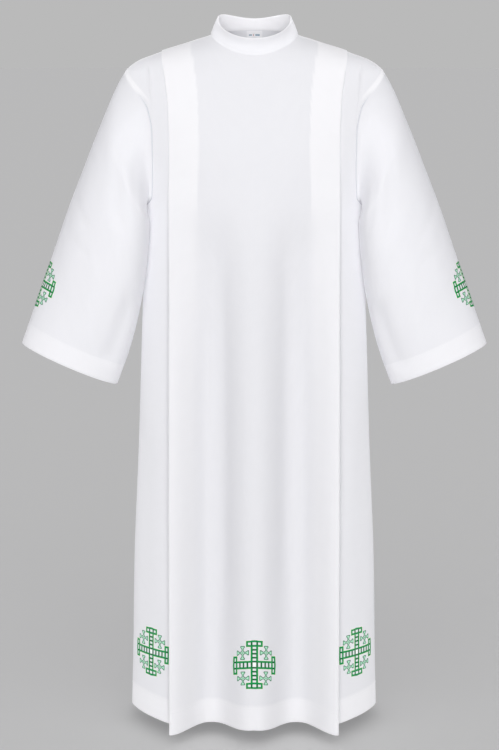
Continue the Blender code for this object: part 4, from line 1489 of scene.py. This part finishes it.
def cloth_material(name, threads=2600.0, roughness=CLOTH_ROUGHNESS, thread_height=THREAD_HEIGHT):
    """Matt woven cloth: two whites by layers and painted shade and light, a true-scale weave and a soft
    unevenness.
    """
    finish = {
        "Roughness": roughness, "Specular IOR Level": 0.25, "Sheen Weight": 0.12, "Sheen Roughness": 0.5
    }
    material, tree, shader = new_material(name, finish)
    place = node(tree, "ShaderNodeUVMap", uv_map="cloth").outputs[0]
    given = {"Cloth place": place, "Threads per metre": threads}
    woven = node(tree, "ShaderNodeGroup", given, node_tree=weave).outputs
    layer_mask_and_painted_shading = node(tree, "ShaderNodeAttribute", attribute_name="layers_and_painted_shading").outputs["Fac"]
    # The mask also mixes in painted shade along the seams and painted light inside the collar.
    white = mixed(tree, layer_mask_and_painted_shading, SINGLE_WHITE, BACKED_WHITE, clamp_factor=False)
    soft = maths(tree, "MULTIPLY", maths(tree, "SUBTRACT", noise(tree, place, *CLOUDS[:2]), 0.5), CLOUDS[2])
    shade = maths(tree, "SUBTRACT", woven["Shade"], MIDDLE_SHADE)
    shade = maths(tree, "ADD", maths(tree, "MULTIPLY", shade, SHADE_DEPTH), soft)
    light = maths(tree, "ADD", shade, 1.0 - SHADE_DEPTH / 6)
    paint = node(tree, "ShaderNodeVectorMath", {0: white, "Scale": light}, operation="SCALE").outputs[0]
    tree.links.new(paint, shader.inputs["Base Color"])
    ironed = bump(tree, noise(tree, place, *IRONED[:2]), IRONED[2], 0.5)
    normal = bump(tree, woven["Height"], thread_height, 0.6, Normal=ironed)
    tree.links.new(normal, shader.inputs["Normal"])
    through = node(tree, "ShaderNodeBsdfTranslucent", {"Color": paint, "Normal": normal})
    both = node(tree, "ShaderNodeMixShader", {0: SEE_THROUGH, 1: shader.outputs[0], 2: through.outputs[0]})
    tree.links.new(both.outputs[0], tree.nodes["Material Output"].inputs["Surface"])
    return material


robe_cloth = cloth_material("robe_cloth")
for piece in panels.values():
    piece.data.materials.append(robe_cloth)
collar.data.materials.append(cloth_material("collar_cloth"))
label.data.materials.append(cloth_material("label_satin", 4200.0, 0.45, 0.00003))
slate = thread_material("slate_thread", (0.230, 0.330, 0.400))
rose = thread_material("rose_thread", (0.560, 0.380, 0.380))
for bar, thread in zip(label_bars, (slate, rose, slate)):
    bar.data.materials.append(thread)
print("cloths:", [piece.data.materials[0].name for piece in (*panels.values(), collar, label)])

# %% [markdown]
# ## A plain studio
#
# White cloth only shows its folds if the light is soft and a little to one side of even, so hollows go
# grey and never black. A wide board in front lights the robe from the height of a lamp stand, so the
# shoulders are a little brighter than the hem. Pairs of lamps at the sides reach round it, one behind
# shines a little through the thin cloth, and a weak one lights the neck. Those are suns with a large
# angle, the simplest wide lamp. The side lamps on the body shine past the sleeves, as white boards held
# close to it would, so only the body itself throws their shadows. The sleeves have side lamps of their
# own, which reach between sleeve and body too. The floor is a wide pale disc with lamps of its own,
# through light linking, so its tone doesn't depend on the robe's. Half of the floor's light throws no
# shadow, which keeps the shadow under the hem faint.

# %% Floor, world and lamps
FLOOR_BELOW_HEM = 0.035
FLOOR_RADIUS = 60.0
FLOOR_PAINT = 0.50
STAGE_GREY = 0.491
WORLD_LIGHT = (0.985, 0.98, 1.0)
WORLD_STRENGTH = 0.39
# The wide board in front: how far off, how high, how wide, and its watts.
FRONT_BOARD = (8.0, 2.0, 6.0, 640.0)
BOARD_AIM = (0.0, 0.0, -0.6)
# Direction from the front round to the wearer's left, height above the horizon and width of each
# lamp, all in degrees, and its strength.
BACK_LIGHT = (180, 16, 50, 1.10)
NECK_LIGHT = (0, -15, 20, 0.30)
BODY_SIDE_LIGHTS = (
    (90, 12, 20, 0.24),
    (110, 12, 20, 1.10),
)
SLEEVE_SIDE_LIGHTS = (
    (68, 12, 30, 0.16),
    (125, 12, 30, 0.30),
)
FLOOR_LIGHT = (0, 60, 30, 1.30)
FLOOR_SHADE = (0, 50, 80, 0.95)


def stage_material():
    material = bpy.data.materials.new("pale_floor")
    material.use_nodes = True
    shader = material.node_tree.nodes["Principled BSDF"]
    shader.inputs["Base Color"].default_value = (FLOOR_PAINT, FLOOR_PAINT, FLOOR_PAINT, 1)
    shader.inputs["Roughness"].default_value = 0.9
    shader.inputs["Specular IOR Level"].default_value = 0.0
    return material


def make_floor():
    bpy.ops.mesh.primitive_circle_add(vertices=96, radius=FLOOR_RADIUS, fill_type="NGON")
    floor = bpy.context.object
    floor.name = "studio_floor"
    floor.location.z = -HEM_DROP - FLOOR_BELOW_HEM
    floor.data.materials.append(stage_material())
    return floor


def make_world():
    world = bpy.data.worlds.new("studio")
    world.use_nodes = True
    tree = world.node_tree
    tree.nodes.clear()
    seen = node(tree, "ShaderNodeBackground", {"Color": (STAGE_GREY,) * 3 + (1,), "Strength": 1.0})
    lit = node(tree, "ShaderNodeBackground", {"Color": WORLD_LIGHT + (1,), "Strength": WORLD_STRENGTH})
    path = node(tree, "ShaderNodeLightPath")
    by_camera = {0: path.outputs["Is Camera Ray"], 1: lit.outputs[0], 2: seen.outputs[0]}
    both = node(tree, "ShaderNodeMixShader", by_camera)
    node(tree, "ShaderNodeOutputWorld", {"Surface": both.outputs[0]})
    bpy.context.scene.world = world


def collection_of(name, *pieces):
    group = bpy.data.collections.new(name)
    bpy.context.scene.collection.children.link(group)
    for piece in pieces:
        group.objects.link(piece)
    return group


def wide_lamp(name, round_way, height, width, strength, lights, shadows_of=None):
    """A wide soft lamp from far away that lights one collection, and may take shadows from another."""
    turn, rise = math.radians(round_way), math.radians(height)
    place = Vector((math.sin(turn) * math.cos(rise), -math.cos(turn) * math.cos(rise), math.sin(rise)))
    lamp = bpy.data.objects.new(name, bpy.data.lights.new(name, "SUN"))
    lamp.data.energy = strength
    lamp.data.angle = math.radians(width)
    lamp.rotation_euler = (-place).to_track_quat("-Z", "Y").to_euler()
    lamp.light_linking.receiver_collection = lights
    if shadows_of:
        lamp.light_linking.blocker_collection = shadows_of
    bpy.context.scene.collection.objects.link(lamp)
    return lamp


def front_board(distance, height, width, watts):
    """A round board a few metres off, which lights the shoulders a little more than the hem."""
    lamp = bpy.data.objects.new("front_board", bpy.data.lights.new("front_board", "AREA"))
    lamp.data.shape = "DISK"
    lamp.data.size = width
    lamp.data.energy = watts
    lamp.location = (0, -distance, height)
    lamp.rotation_euler = (Vector(BOARD_AIM) - lamp.location).to_track_quat("-Z", "Y").to_euler()
    lamp.visible_camera = False
    lamp.light_linking.receiver_collection = robe
    bpy.context.scene.collection.objects.link(lamp)


studio = collection_of("studio", make_floor())
body = collection_of("body", *(piece for piece in robe.objects if "sleeve" not in piece.name))
sleeves = collection_of("sleeves", *(piece for piece in robe.objects if "sleeve" in piece.name))
neck = collection_of("neck", collar, label)
make_world()
front_board(*FRONT_BOARD)
wide_lamp("back_light", *BACK_LIGHT, robe)
wide_lamp("neck_light", *NECK_LIGHT, neck).data.use_shadow = False
for way, side in ((1, "left"), (-1, "right")):
    for turn, *settings in BODY_SIDE_LIGHTS:
        wide_lamp(f"{side}_body_light_{turn}", way * turn, *settings, body, shadows_of=body)
    for turn, *settings in SLEEVE_SIDE_LIGHTS:
        wide_lamp(f"{side}_sleeve_light_{turn}", way * turn, *settings, sleeves).data.use_shadow = False
wide_lamp("floor_light", *FLOOR_LIGHT, studio).data.use_shadow = False
wide_lamp("floor_shade", *FLOOR_SHADE, studio)
bpy.context.scene.view_settings.view_transform = "Standard"

# %% [markdown]
# ## Telling the frame what each piece is
#
# Every piece rides on the robe's one body. The frame's own panels, collar and label are hidden where
# the new pieces take their place.

# %% Bodies and hidden nodes
for name, piece in panels.items():
    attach(piece, "root")
    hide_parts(name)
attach(collar, "root")
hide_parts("collar")
for piece in (*crosses, *stitches):
    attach(piece, "root")
for piece in (label, *label_bars):
    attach(piece, "root")
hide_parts("neck_label")
